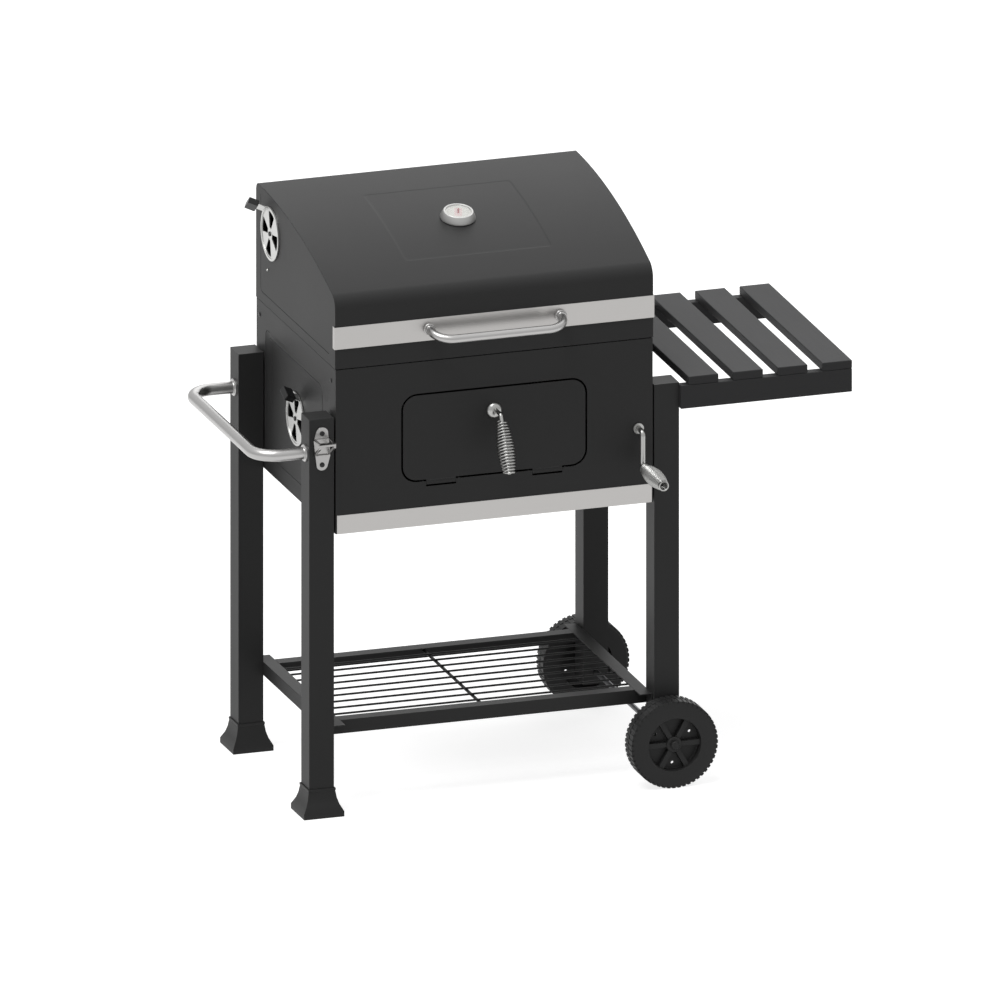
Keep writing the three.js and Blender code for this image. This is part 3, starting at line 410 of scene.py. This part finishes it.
def pressed_side(way, node):
    """A side panel with a shallow field pressed into it, in two small steps."""
    low, high = corners(node)
    outer_x = low.x if way < 0 else high.x
    steps = [(rounded((low.y, low.z), (high.y, high.z), 0.5), 0.0)]
    steps += step_down(PRESSED_SIDE["outer"], 0.0, SIDE_DEPTH / 2)
    steps += step_down(PRESSED_SIDE["inner"], SIDE_DEPTH / 2, SIDE_DEPTH)
    outer = [[(outer_x - way * depth, y, z) for y, z in ring] for ring, depth in steps]
    inner = [[(outer_x - way * (depth + SHEET), y, z) for y, z in ring] for ring, depth in reversed(steps)]
    return stacked(inner + outer)


def groove_cutter(points, x, bend):
    path = bent([(x, y, z) for y, z in points], bend)
    return sweep(path, SIDE_GROOVE["radius"], 8)


def side_panel(way, node):
    low, high = corners(node)
    outer_x = low.x if way < 0 else high.x
    tools = [
        groove_cutter(UPPER_GROOVE, outer_x, SIDE_GROOVE["upper_bend"]),
        groove_cutter(LOWER_GROOVE, outer_x - way * SIDE_DEPTH / 2, SIDE_GROOVE["lower_bend"]),
    ]
    if way < 0:
        tools += vent_windows(lower_vent_at, VENT["lower_first"], LEFT_FACE - 5, 20)
    return stand_in(node, carved(pressed_side(way, node), *tools), sharp=20)


side_panel(-1, "firebox_left")
side_panel(1, "firebox_right")
for node in ("firebox_front", "firebox_back", "firebox_floor"):
    refined(node, 0.35)

DOOR_TAB = {"centre": 102.5, "half": 28.5, "opening": 32.0, "gap": 0.5, "low": 614.5, "high": 624.5}
BEAD = {"half": 24.0, "radius": 1.4, "y": 0.7, "z": 626.2}


def door_tab_details():
    """Fillers that close the opening up to the sides of the door's tabs, and a rolled bead on each tab."""
    fillers, beads = [], []
    near, far = DOOR_TAB["half"] + DOOR_TAB["gap"], DOOR_TAB["opening"]
    for way in (-1, 1):
        centre = way * DOOR_TAB["centre"]
        for start, end in ((-far, -near), (near, far)):
            low = (centre + start, 0, DOOR_TAB["low"])
            high = (centre + end, SHEET, DOOR_TAB["high"])
            fillers.append(box(low, high))
        ends = [Vector((centre + side * BEAD["half"], BEAD["y"], BEAD["z"])) for side in (-1, 1)]
        beads.append(sweep(ends, BEAD["radius"], 16))
    piece("door_tab_fillers", merged(*fillers), "cart", LOOKS["black_paint"], "black_paint")
    piece("door_tab_beads", merged(*beads), "door", LOOKS["black_paint"], "black_paint", bevel=0.4)


door_tab_details()
refined("lower_trim", 0.5)

# ------------------------------------------------------------------ legs, feet, rails and shelves

for row in ("front", "back"):
    for side in ("left", "right"):
        refined(f"leg_{row}_{side}", 1.6, segments=3)
    refined(f"foot_{row}_left", 2.2, segments=3)
    refined(f"shelf_beam_{row}", 1.8, segments=3)
for side in ("left", "right", "front", "back"):
    refined(f"rail_{side}", 0.8)
for number in range(1, 5):
    refined(f"shelf_slat_{number}", 1.8, segments=3)

WIRE = {"radius": 2.0, "count": 9, "tie": 3.0, "rows": (87.9, 371.1)}


def wire_shelf():
    low, high = corners("wire_shelf")
    height = high.z - WIRE["radius"]
    first, last = WIRE["rows"]
    wires = []
    for i in range(WIRE["count"]):
        y = first + (last - first) * i / (WIRE["count"] - 1)
        ends = [Vector((low.x, y, height)), Vector((high.x, y, height))]
        wires.append(sweep(ends, WIRE["radius"], 12))
    tie_height = low.z + WIRE["tie"]
    tie = sweep([Vector((0, low.y, tie_height)), Vector((0, high.y, tie_height))], WIRE["tie"], 14)
    stand_in("wire_shelf", merged(tie, *wires), bevel=0.6)


wire_shelf()
refined("wheel_axle", 0.6)

# ------------------------------------------------------------------ wheels

WHEEL = {"radius": 83.5, "width": 43.0, "tyre": 82.4, "rim": 50.0, "dish": 16.0, "hub": 15.0, "web": 5.0,
         "bore": 5.3}
SHOULDER = [(80, -2.6), (77, -1.5), (72, -0.8), (66, -0.2), (60, 0)]
TREAD = {"blocks": 52, "share": 0.7, "groove": 3.0, "shoulder": 8.0}
WHEEL_RIBS = {"count": 6, "width": 10.0, "set_back": 6.0}
WHEEL_HOLES = {"radius": 3.0, "circle": 38.0}


def sector_block(start, end, inner, outer, low, high):
    """A block of a ring between two angles and two heights, with its outer face a little narrower."""
    taper = (end - start) * 0.07
    rings = []
    for radius, trim in ((inner, 0.0), (outer, taper)):
        ring = []
        for height in (low + trim * radius * 0.5, high - trim * radius * 0.5):
            angles = (start + trim, end - trim)
            if height > (low + high) / 2:
                angles = (end - trim, start + trim)
            ring += [(radius * math.cos(a), radius * math.sin(a), height) for a in angles]
        rings.append(ring)
    return stacked(rings)


def wheel_rib(angle, half):
    """A rib of the dish, a little narrower at its top."""
    start, end = WHEEL["hub"] - 1, WHEEL["rim"] - 0.2
    outline = [(start, -half), (end, -half - 1), (end, half + 1), (start, half)]
    levels = ((1.0, -WHEEL["dish"] - 0.5), (0.84, -WHEEL_RIBS["set_back"]))
    rings = [[(x, y * share, z) for x, y in outline] for share, z in levels]
    return moved(stacked(rings), Matrix.Rotation(angle, 4, "Z"))


def wheel_shape():
    """A moulded wheel with its outer face at height 0, looking up: tyre, dish, hub, ribs and bolt holes."""
    width, tyre, rim = WHEEL["width"], WHEEL["tyre"], WHEEL["rim"]
    dish, hub, web, bore = WHEEL["dish"], WHEEL["hub"], WHEEL["web"], WHEEL["bore"]
    set_back = WHEEL_RIBS["set_back"]
    back = [(bore, -width), (hub, -width), (hub, -dish - web), (rim, -dish - web), (rim, -width),
            (78, -width)]
    tread = [(tyre, -width + 4), (tyre, -4.5), *SHOULDER]
    inside = [(rim + 2.5, 0), (rim + 0.8, -0.5), (rim, -2), (rim - 0.6, -dish + 1), (rim - 2, -dish)]
    centre = [(hub + 1.5, -dish), (hub, -dish + 1.5), (hub - 0.4, -set_back / 2 - 1),
              (hub - 1.6, -set_back / 2), (bore, -set_back / 2)]
    body = lathe(back + tread + inside + centre, 96)
    step = 2 * math.pi / WHEEL_RIBS["count"]
    half = WHEEL_RIBS["width"] / 2
    holes, ribs = [], []
    for i in range(WHEEL_RIBS["count"]):
        ribs.append(wheel_rib(i * step, half))
    for i in range(0, WHEEL_RIBS["count"], 2):
        hole = lathe([(0, -dish - web - 2), (WHEEL_HOLES["radius"], -dish - web - 2),
                      (WHEEL_HOLES["radius"], -dish + 3), (0, -dish + 3)], 20)
        at = Matrix.Rotation((i + 0.5) * step, 4, "Z") @ Matrix.Translation((WHEEL_HOLES["circle"], 0, 0))
        holes.append(moved(hole, at))
    pitch = 2 * math.pi / TREAD["blocks"]
    blocks = []
    for i in range(TREAD["blocks"]):
        for row, low, high in ((0, -width + 1.5, -width / 2 - TREAD["groove"] / 2),
                               (1, -width / 2 + TREAD["groove"] / 2, -1.5)):
            start = (i + 0.5 * row) * pitch
            end = start + pitch * TREAD["share"]
            blocks.append(sector_block(start, end, tyre - 1, WHEEL["radius"], low, high))
            face = (low, low + 2.5) if row == 0 else (high - 2.5, high)
            blocks.append(sector_block(start, end, tyre - TREAD["shoulder"], tyre, *face))
    return merged(carved(body, *holes), *ribs, *blocks)


for row, turn in (("front", 90), ("back", -90)):
    low, high = corners(f"wheel_{row}")
    centre = JOINT_AT[f"{row}_wheel_spin"]
    face = low.y if row == "front" else high.y
    place = Matrix.Translation((centre.x, face, centre.z)) @ Matrix.Rotation(math.radians(turn), 4, "X")
    stand_in(f"wheel_{row}", moved(wheel_shape(), place), bevel=0.5)
    refined(f"axle_cap_{row}", 0.8, segments=3)

# ------------------------------------------------------------------ hood

# The hood's crown, and the gauge on it, are a little lower than in the CAD, as they are in the photo.
HOOD_DROP = 5.0
HOOD = {"side": 307.0, "radius": 1240.0, "crown": 1084.0 - HOOD_DROP, "brow": 29.0, "heel": 15.0,
        "bottom": 857.2, "lowest_press": 960.0}
PRESSED = {"half_width": 143.0, "front": 88.0, "back": 338.0, "corner": 9.0, "depth": 0.45, "slope": 4.0}


def hood_line(inset=0.0, crown_ys=None, steps=60):
    """The hood's outline in (y, z) with its outward normals, from the front edge over the top to the back."""
    radius, brow, heel = HOOD["radius"], HOOD["brow"], HOOD["heel"]
    crown_z = HOOD["crown"] - radius
    brow_z = crown_z + math.sqrt((radius - brow) ** 2 - (BODY_DEPTH - brow) ** 2)
    heel_z = crown_z + math.sqrt((radius - heel) ** 2 - heel ** 2)
    brow_turn = math.asin((BODY_DEPTH - brow) / (radius - brow))
    heel_turn = math.asin(heel / (radius - heel))
    line = []

    def add(centre, size, angle):
        normal = (-math.sin(angle), math.cos(angle))
        reach = size - inset
        line.append((centre[0] + reach * normal[0], centre[1] + reach * normal[1], normal))

    line.append((inset, HOOD["bottom"], (-1.0, 0.0)))
    for i in range(17):
        add((brow, brow_z), brow, math.pi / 2 + (brow_turn - math.pi / 2) * i / 16)
    if crown_ys is None:
        crown_angles = [brow_turn + (heel_turn - brow_turn) * i / steps for i in range(1, steps)]
    else:
        crown_angles = [math.asin((BODY_DEPTH - y) / radius) for y in crown_ys]
    for angle in crown_angles:
        add((BODY_DEPTH, crown_z), radius, angle)
    for i in range(13):
        add((BODY_DEPTH - heel, heel_z), heel, heel_turn - (heel_turn + math.pi / 2) * i / 12)
    line.append((BODY_DEPTH - inset, HOOD["bottom"], (1.0, 0.0)))
    return line


def pressed_depth(x, y):
    """How far the crown is pressed in at a place: a field with round corners and a sloping edge."""
    middle_y = (PRESSED["front"] + PRESSED["back"]) / 2
    half_y = (PRESSED["back"] - PRESSED["front"]) / 2
    dx = abs(x) - (PRESSED["half_width"] - PRESSED["corner"])
    dy = abs(y - middle_y) - (half_y - PRESSED["corner"])
    outside = math.hypot(max(dx, 0), max(dy, 0)) + min(max(dx, dy), 0) - PRESSED["corner"]
    t = min(max(-outside / PRESSED["slope"], 0), 1)
    return PRESSED["depth"] * t * t * (3 - 2 * t)


def fine_near(edges, low, high, coarse=24.0):
    """Stations from low to high, close together around the edges."""
    spans = round((high - low) / coarse)
    found = {low + (high - low) * i / spans for i in range(1, spans)}
    kept = {v for v in found if all(abs(v - e) > 14 for e in edges)} | {low, high}
    for edge in edges:
        kept.update(edge + d for d in (-12, -9, -7, -5, -3.5, -2.5, -1.5, -0.75, 0, 0.75, 2, 5, 9, 12))
    return sorted(kept)


def hood_shell():
    xs = fine_near([-PRESSED["half_width"], PRESSED["half_width"]], -HOOD["side"], HOOD["side"])
    brow_end = 36.0
    heel_start = BODY_DEPTH - 16
    crown_ys = fine_near([PRESSED["front"] + 1, PRESSED["back"] - 1], brow_end, heel_start)
    line = hood_line(crown_ys=crown_ys)
    rings = []
    for x in xs:
        ring = []
        for y, z, normal in line:
            sunk = pressed_depth(x, y) if z > HOOD["lowest_press"] else 0.0
            ring.append((x, y - normal[0] * sunk, z - normal[1] * sunk))
        for y, z, normal in reversed(line):
            sunk = SHEET + (pressed_depth(x, y) if z > HOOD["lowest_press"] else 0.0)
            ring.append((x, y - normal[0] * sunk, z - normal[1] * sunk))
        rings.append(ring)
    count = len(rings[0])
    half = count // 2
    faces = []
    for k in range(len(rings) - 1):
        a, b = k * count, (k + 1) * count
        faces += [(a + i, a + (i + 1) % count, b + (i + 1) % count, b + i) for i in range(count)]
    for k in (0, len(rings) - 1):
        a = k * count
        faces += [(a + i, a + i + 1, a + count - 2 - i, a + count - 1 - i) for i in range(half - 1)]
    return outward(mesh_of([p for ring in rings for p in ring], faces))


CREASE = {"top": 1062, "bend": 9.0, "back": 432.0, "bottom": 877.0, "front": 36.0, "radius": 0.85}


def hood_cheek(way, node):
    low, high = corners(node)
    line = [(y, z) for y, z, _ in hood_line(inset=SHEET + 0.3)]
    cheek = plate_yz(line, low.x, high.x - low.x)
    outer = low.x if way < 0 else high.x
    groove = bent(
        [(outer, CREASE["back"], CREASE["top"]), (outer, CREASE["back"], CREASE["bottom"]),
         (outer, CREASE["front"], CREASE["bottom"])],
        CREASE["bend"],
    )
    tools = [sweep(groove, CREASE["radius"], 10)]
    if way < 0:
        tools += vent_windows(upper_vent_at, VENT["upper_first"], low.x - 5, 10)
    stand_in(node, carved(cheek, *tools))


stand_in("hood_shell", hood_shell(), sharp=40, bevel=0.3)
hood_cheek(-1, "hood_cheek_left")
hood_cheek(1, "hood_cheek_right")
refined("hood_trim", 0.5)
for side in ("left", "right"):
    refined(f"hinge_base_{side}", 0.5)
    refined(f"hinge_leaf_{side}", 0.5)

# ------------------------------------------------------------------ handles

PULL_HANDLE = {"radius": 11.25, "bend": 45.0}


def pull_handle():
    low, high = corners("pull_handle")
    collar = (high.z - low.z) / 2
    radius = PULL_HANDLE["radius"]
    middle_z = (low.z + high.z) / 2
    rows = (low.y + collar, high.y - collar)
    out = low.x + radius
    path = bent([(high.x - 1, rows[0], middle_z), (out, rows[0], middle_z), (out, rows[1], middle_z),
                 (high.x - 1, rows[1], middle_z)], PULL_HANDLE["bend"], 20)
    collars = []
    for y in rows:
        profile = [(0, 0), (collar, 0), (collar, 2.6), (collar - 1.2, 3.9), (radius + 0.8, 4),
                   (radius + 0.4, 5), (0, 5)]
        at = Matrix.Translation((high.x, y, middle_z)) @ Matrix.Rotation(math.radians(-90), 4, "Y")
        collars.append(moved(lathe(profile, 48), at))
    stand_in("pull_handle", merged(sweep(path, radius, 40), *collars), sharp=40)


HOOD_HANDLE = {"radius": 8.0, "drop": 11.0, "bend": 36.0, "collar": 11.0, "collar_length": 12.0}


def hood_handle():
    low, high = corners("hood_handle")
    radius, collar = HOOD_HANDLE["radius"], HOOD_HANDLE["collar"]
    half = high.x - collar
    front = high.y
    height = high.z - collar + 1
    out = low.y + radius
    bar = height - HOOD_HANDLE["drop"]
    path = bent([(-half, front - 3, height), (-half, out, bar), (half, out, bar), (half, front - 3, height)],
                HOOD_HANDLE["bend"], 20)
    collars = []
    length = HOOD_HANDLE["collar_length"]
    for x in (-half, half):
        profile = [(0, 0), (collar, 0), (collar, length * 0.4), (collar - 0.6, length * 0.46),
                   (collar - 1.6, length * 0.5), (collar - 1.6, length * 0.92), (collar - 2.4, length),
                   (0, length)]
        at = Matrix.Translation((x, front, height - 1)) @ Matrix.Rotation(math.radians(90), 4, "X")
        collars.append(moved(lathe(profile, 40), at))
    stand_in("hood_handle", merged(sweep(path, radius, 32), *collars), sharp=40)


pull_handle()
hood_handle()

# ------------------------------------------------------------------ coil grips


def coil(start, way, length, turns, wire, radii):
    """A helix of wire about a line; radii gives its outer radius from 0 at the start to 1 at the end."""
    side = way.orthogonal().normalized()
    up = way.cross(side)
    steps = 26
    path = []
    for i in range(turns * steps + 1):
        share = i / (turns * steps)
        angle = 2 * math.pi * i / steps
        out = radii(share) - wire
        middle = start + way * (length * share)
        path.append(middle + side * (out * math.cos(angle)) + up * (out * math.sin(angle)))
    return sweep(path, wire, 10)


def turned_at(profile, start, way, segments=36):
    turn = way.to_track_quat("Z", "Y").to_matrix().to_4x4()
    return moved(lathe(profile, segments), Matrix.Translation(start) @ turn)


DOOR_GRIP = {"tilt": math.radians(28), "length": 104.0, "turns": 18, "wire": 1.45, "ends": (9.5, 11.0),
             "belly": 16.3, "rod": 3.4}
CRANK_GRIP = {"length": 112.0, "turns": 24, "wire": 1.8, "ends": (10.0, 10.0), "belly": 16.4, "rod": 6.2,
              "hollow": 30.0}


def belly(ends, middle):
    """A barrel outline: from one end's radius over the middle's to the other end's."""
    def radius(share):
        straight = ends[0] + (ends[1] - ends[0]) * share
        return straight + (middle - (ends[0] + ends[1]) / 2) * math.sin(math.pi * share)
    return radius


def door_grip():
    hub = JOINT_AT["door_latch_turn"]
    start = Vector((hub.x, -42, hub.z - 6))
    way = Vector((0, -math.sin(DOOR_GRIP["tilt"]), -math.cos(DOOR_GRIP["tilt"])))
    winding = coil(start + way * 2, way, DOOR_GRIP["length"] - 5, DOOR_GRIP["turns"], DOOR_GRIP["wire"],
                   belly(DOOR_GRIP["ends"], DOOR_GRIP["belly"]))
    rod, end = DOOR_GRIP["rod"], DOOR_GRIP["length"] - 2
    core = turned_at([(0, 0), (rod, 0), (rod, end - 1), (rod - 0.8, end), (0, end)], start, way)
    stand_in("door_grip", merged(winding, core), sharp=50)


def crank_grip():
    low, high = corners("crank_grip")
    middle = (low + high) / 2
    start = Vector((middle.x, high.y, middle.z))
    way = Vector((0, -1, 0))
    winding = coil(start + way * 4, way, CRANK_GRIP["length"] - 8, CRANK_GRIP["turns"], CRANK_GRIP["wire"],
                   belly(CRANK_GRIP["ends"], CRANK_GRIP["belly"]))
    end = start + way * (high.y - low.y)
    ring = turned_at([(6.8, 0), (9.6, 0), (10, 1), (9.6, 3.6), (7.6, 4), (6.8, 3)], end - way * 4.2, way)
    rod, reach = CRANK_GRIP["rod"], CRANK_GRIP["length"] - CRANK_GRIP["hollow"]
    core = turned_at([(0, 0), (rod, 0), (rod, reach), (0, reach)], start + way * 2, way)
    collar = turned_at([(0, 0), (9.4, 0), (10, 1), (10, 4), (9, 5), (0, 5)], start, way)
    stand_in("crank_grip", merged(winding, ring, core, collar), sharp=50)


door_grip()
crank_grip()
refined("door_handle", 0.4, sharp=40)
refined("crank_arm", 0.3, sharp=40)
refined("crank_bush", 0.5, look=BUSH_STEEL)
refined("door_panel", 0.35)
refined("door_hinge_pin", 0.3)

OPENER = {"half": 16.0, "plate": 2.5, "reach": 36.0, "mouth": 12.0, "hole": 30.0, "arm": 4.0}
OPENER_EARS = {"upper": (12.0, 17.0), "lower": (11.0, -13.0)}
OPENER_SHELF = {"low": 18.0, "top": 20.5, "bar": 14.5, "mouth": (-28.0, -5.0)}
OPENER_SCREW = {"radius": 4.8, "height": 2.2}


def opener_outline():
    """The back plate's outline in (x, z): an ear with its round end at the top and at the bottom."""
    half, hole = OPENER["half"], OPENER["hole"]
    outline = []
    for up, (ear, waist) in ((1, OPENER_EARS["upper"]), (-1, OPENER_EARS["lower"])):
        turn = 0 if up > 0 else 180
        arc = [math.radians(turn + 20 + 140 * i / 16) for i in range(17)]
        outline += [(ear * math.cos(a), up * hole + ear * math.sin(a)) for a in arc]
        outline += [(-up * half, waist), (-up * half, waist - up * 4)]
    return outline


def bottle_opener():
    """A screwed plate with two ears, a shelf with the cap's mouth in it and two slanting arms under it."""
    low, high = corners("bottle_opener")
    centre = Vector(((low.x + high.x) / 2, high.y, (low.z + high.z) / 2))
    half, plate, reach, mouth = (OPENER[k] for k in ("half", "plate", "reach", "mouth"))
    top, front = OPENER_SHELF["top"], -reach + OPENER["plate"]
    back = stacked([[(x, y, z) for x, z in opener_outline()] for y in (-plate, 0)])
    mouth_start, mouth_end = OPENER_SHELF["mouth"]
    opening = box((-mouth, mouth_start, 10), (mouth, mouth_end, 30))
    shelf = carved(box((-half, -reach, OPENER_SHELF["low"]), (half, 0, top)), opening)
    bar = box((-half, -reach, OPENER_SHELF["bar"]), (half, front, top))
    slant = [(-reach, 15), (-reach, 11), (0, -13.5), (0, -8.5), (front, 15)]
    arms = [plate_yz(slant, x, OPENER["arm"]) for x in (-half, half - OPENER["arm"])]
    lip = box((-11, -7, -12.5), (11, -plate + 0.5, -10.0))
    at = Matrix.Translation(centre)
    stand_in("bottle_opener", moved(merged(back, shelf, bar, lip, *arms), at), bevel=0.5)
    turn = Matrix.Rotation(math.radians(90), 4, "X")
    heads = []
    for z in (-OPENER["hole"], OPENER["hole"]):
        head = screw_head(OPENER_SCREW["radius"], OPENER_SCREW["height"])
        heads.append(moved(head, at @ Matrix.Translation((0, -plate, z)) @ turn))
    piece("opener_screws", merged(*heads), BODY_OF["bottle_opener"], SCREW_BLACK, "black_paint")


bottle_opener()

# ------------------------------------------------------------------ thermometer and vents

gauge_at = JOINT_AT["needle_turn"]
gauge_tilt = math.asin((BODY_DEPTH - gauge_at.y) / HOOD["radius"])
gauge_place = Matrix.Translation(gauge_at) @ Matrix.Rotation(gauge_tilt, 4, "X")
bezel = refined("thermometer_bezel", 0.8, segments=3, look=BEZEL_STEEL)
bezel.data.transform(Matrix.Translation(gauge_place.to_3x3() @ Vector((0, 0, -HOOD_DROP * MM))))
for level in ("upper", "lower"):
    refined(f"{level}_vent_disc", 0.35, segments=3)
    refined(f"{level}_vent_rivet", 0.5, segments=3)
    refined(f"{level}_vent_knob", 3.4, segments=4, look=KNOB_BLACK)

# The needle and the strip under it are turned by "reading" from the CAD's rest angle, as in the photo.
GAUGE = {"dial": 12.0, "radius": 24.0, "strip": 7.0, "reading": math.radians(-18)}


def gauge_parts():
    place = gauge_place @ Matrix.Translation((0, 0, -HOOD_DROP))
    floor = GAUGE["dial"]
    edge = GAUGE["radius"] - 0.3
    paper = lathe([(0, floor), (edge, floor), (edge, floor + 0.15), (0, floor + 0.15)], 64)
    piece("dial", moved(paper, place), "hood", DIAL_PAPER, "handle_steel")
    reading = Matrix.Rotation(GAUGE["reading"], 4, "Z")
    strip = moved(box((-GAUGE["strip"], -15, floor + 0.1), (GAUGE["strip"], 15, floor + 0.22)), reading)
    piece("dial_zone", moved(strip, place), "hood", DIAL_ZONE, "handle_steel", smooth=False)
    pointer = [[(-1.5, -5, z), (1.5, -5, z), (1.7, 8, z), (0.2, 14.5, z), (-0.2, 14.5, z), (-1.7, 8, z)]
               for z in (floor + 0.5, floor + 1.2)]
    stand_in("thermometer_needle", moved(stacked(pointer), place @ reading), bevel=0.15)
    ticks = []
    for i in range(25):
        reach = 3.4 if i % 4 == 0 else 2.0
        tick = box((19.5 - reach / 2, -0.22, floor + 0.1), (19.5 + reach / 2, 0.22, floor + 0.24))
        ticks.append(moved(tick, Matrix.Rotation(math.radians(-45 + 270 * i / 24), 4, "Z")))
    piece("dial_marks", moved(merged(*ticks), place), "hood", DIAL_INK, "handle_steel", smooth=False)
    lens = lathe([(0, 14.2), (23.7, 13.9), (23.7, 14.5), (16, 15.1), (8, 15.5), (0, 15.6)], 64)
    piece("lens", moved(lens, place), "hood", LENS_GLASS, "handle_steel")


gauge_parts()

# ------------------------------------------------------------------ inside the firebox

for node in ("cooking_grate_left", "cooking_grate_right"):
    refined(node, 1.2, segments=2)
for node in ("fire_pan", "ash_tray"):
    refined(node, 0.25)
for node in ("lift_rack", "lift_shaft"):
    refined(node, 0.2)

# ------------------------------------------------------------------ screws

SCREW = {"radius": 4.2, "height": 1.8, "places": [(27, 828), (441, 828)]}
STUD = {"radius": 2.6, "height": 2.6, "places": [(391, 929)]}


def screws_on_left(name, body, look, slot, screw, x):
    """Heads of one kind of screw on a face that looks left, at the kind's (y, z) places."""
    turn = Matrix.Rotation(math.radians(-90), 4, "Y")
    heads = []
    for y, z in screw["places"]:
        head = screw_head(screw["radius"], screw["height"])
        heads.append(moved(head, Matrix.Translation((x, y, z)) @ turn))
    piece(name, merged(*heads), body, look, slot)


screws_on_left("side_screws", "cart", SCREW_BLACK, "black_paint", SCREW, LEFT_FACE)
screws_on_left("hood_stud", "hood", LOOKS["grip_steel"], "grip_steel", STUD, -HOOD["side"])

# ------------------------------------------------------------------ stage, light and camera

# How bright the floor and the sky are: as seen by the camera and mirrors, and as light on a dull surface.
FLOOR = {"half": 6.0, "lights": 0.3, "seen": 0.5, "glow": 0.8}
SKY = {"lights": 0.33, "horizon": 0.7, "zenith": 1.1}
VIEW = {"azimuth": -18.4, "elevation": 18.0, "scale": 1.832, "target": (-0.0267, 0.0494, 0.495),
        "distance": 5}


def stage_material():
    """A glowing white that the camera and mirrors see, and a duller one that the object is lit by."""
    made = bpy.data.materials.new("stage_white")
    made.use_nodes = True
    nodes, links = made.node_tree.nodes, made.node_tree.links
    shader = nodes["Principled BSDF"]
    shader.inputs["Roughness"].default_value = 0.9
    shader.inputs["Specular IOR Level"].default_value = 0.0
    seen = seen_ray(nodes, links)
    shade = nodes.new("ShaderNodeMix")
    shade.data_type = "RGBA"
    shade.inputs["A"].default_value = [FLOOR["lights"]] * 3 + [1]
    shade.inputs["B"].default_value = [FLOOR["seen"]] * 3 + [1]
    glow = nodes.new("ShaderNodeMath")
    glow.operation = "MULTIPLY"
    glow.inputs[1].default_value = FLOOR["glow"]
    links.new(seen, shade.inputs["Factor"])
    links.new(seen, glow.inputs[0])
    links.new(shade.outputs["Result"], shader.inputs["Base Color"])
    shader.inputs["Emission Color"].default_value = (1, 1, 1, 1)
    links.new(glow.outputs["Value"], shader.inputs["Emission Strength"])
    return made


def seen_ray(nodes, links):
    """1 for camera, glossy and transmission rays, 0 for the rays that light a dull surface."""
    path = nodes.new("ShaderNodeLightPath")
    first = nodes.new("ShaderNodeMath")
    first.operation = "MAXIMUM"
    second = nodes.new("ShaderNodeMath")
    second.operation = "MAXIMUM"
    links.new(path.outputs["Is Camera Ray"], first.inputs[0])
    links.new(path.outputs["Is Glossy Ray"], first.inputs[1])
    links.new(first.outputs["Value"], second.inputs[0])
    links.new(path.outputs["Is Transmission Ray"], second.inputs[1])
    return second.outputs["Value"]


def stage_floor():
    half = FLOOR["half"]
    mesh = bpy.data.meshes.new("floor")
    edge = [(-half, -half, 0), (half, -half, 0), (half, half, 0), (-half, half, 0)]
    mesh.from_pydata(edge, [], [(0, 1, 2, 3)])
    floor = bpy.data.objects.new("floor", mesh)
    bpy.context.collection.objects.link(floor)
    mesh.materials.append(stage_material())


def stage_world():
    world = bpy.data.worlds.new("world")
    bpy.context.scene.world = world
    world.use_nodes = True
    nodes, links = world.node_tree.nodes, world.node_tree.links
    background = nodes["Background"]
    background.inputs["Color"].default_value = (1, 1, 1, 1)
    place = nodes.new("ShaderNodeTexCoord")
    height = nodes.new("ShaderNodeSeparateXYZ")
    sky = nodes.new("ShaderNodeMapRange")
    sky.inputs["To Min"].default_value = SKY["horizon"]
    sky.inputs["To Max"].default_value = SKY["zenith"]
    strength = nodes.new("ShaderNodeMix")
    strength.inputs["A"].default_value = SKY["lights"]
    links.new(place.outputs["Generated"], height.inputs["Vector"])
    links.new(height.outputs["Z"], sky.inputs["Value"])
    links.new(seen_ray(nodes, links), strength.inputs["Factor"])
    links.new(sky.outputs["Result"], strength.inputs["B"])
    path = nodes.new("ShaderNodeLightPath")
    white = nodes.new("ShaderNodeMath")
    white.operation = "MAXIMUM"
    links.new(path.outputs["Is Camera Ray"], white.inputs[0])
    links.new(strength.outputs["Result"], white.inputs[1])
    links.new(white.outputs["Value"], background.inputs["Strength"])


def sun(name, strength, angle, towards):
    lamp = bpy.data.lights.new(name, "SUN")
    lamp.energy = strength
    lamp.angle = math.radians(angle)
    made = bpy.data.objects.new(name, lamp)
    bpy.context.collection.objects.link(made)
    made.rotation_mode = "QUATERNION"
    made.rotation_quaternion = Vector(towards).to_track_quat("-Z", "Y")


def camera():
    azimuth, elevation = math.radians(VIEW["azimuth"]), math.radians(VIEW["elevation"])
    back = Vector((math.sin(azimuth) * math.cos(elevation), -math.cos(azimuth) * math.cos(elevation),
                   math.sin(elevation)))
    lens = bpy.data.cameras.new("camera")
    lens.type = "ORTHO"
    lens.ortho_scale = VIEW["scale"]
    lens.clip_end = 40.0
    made = bpy.data.objects.new("camera", lens)
    bpy.context.collection.objects.link(made)
    made.location = Vector(VIEW["target"]) + back * VIEW["distance"]
    made.rotation_mode = "QUATERNION"
    made.rotation_quaternion = (-back).to_track_quat("-Z", "Y")
    bpy.context.scene.camera = made


stage_floor()
stage_world()
sun("key", 1.75, 34, (0.34, 0.14, -0.93))
sun("fill", 0.6, 50, (-0.5, -0.6, -0.5))
camera()
bpy.context.scene.view_settings.view_transform = "Standard"
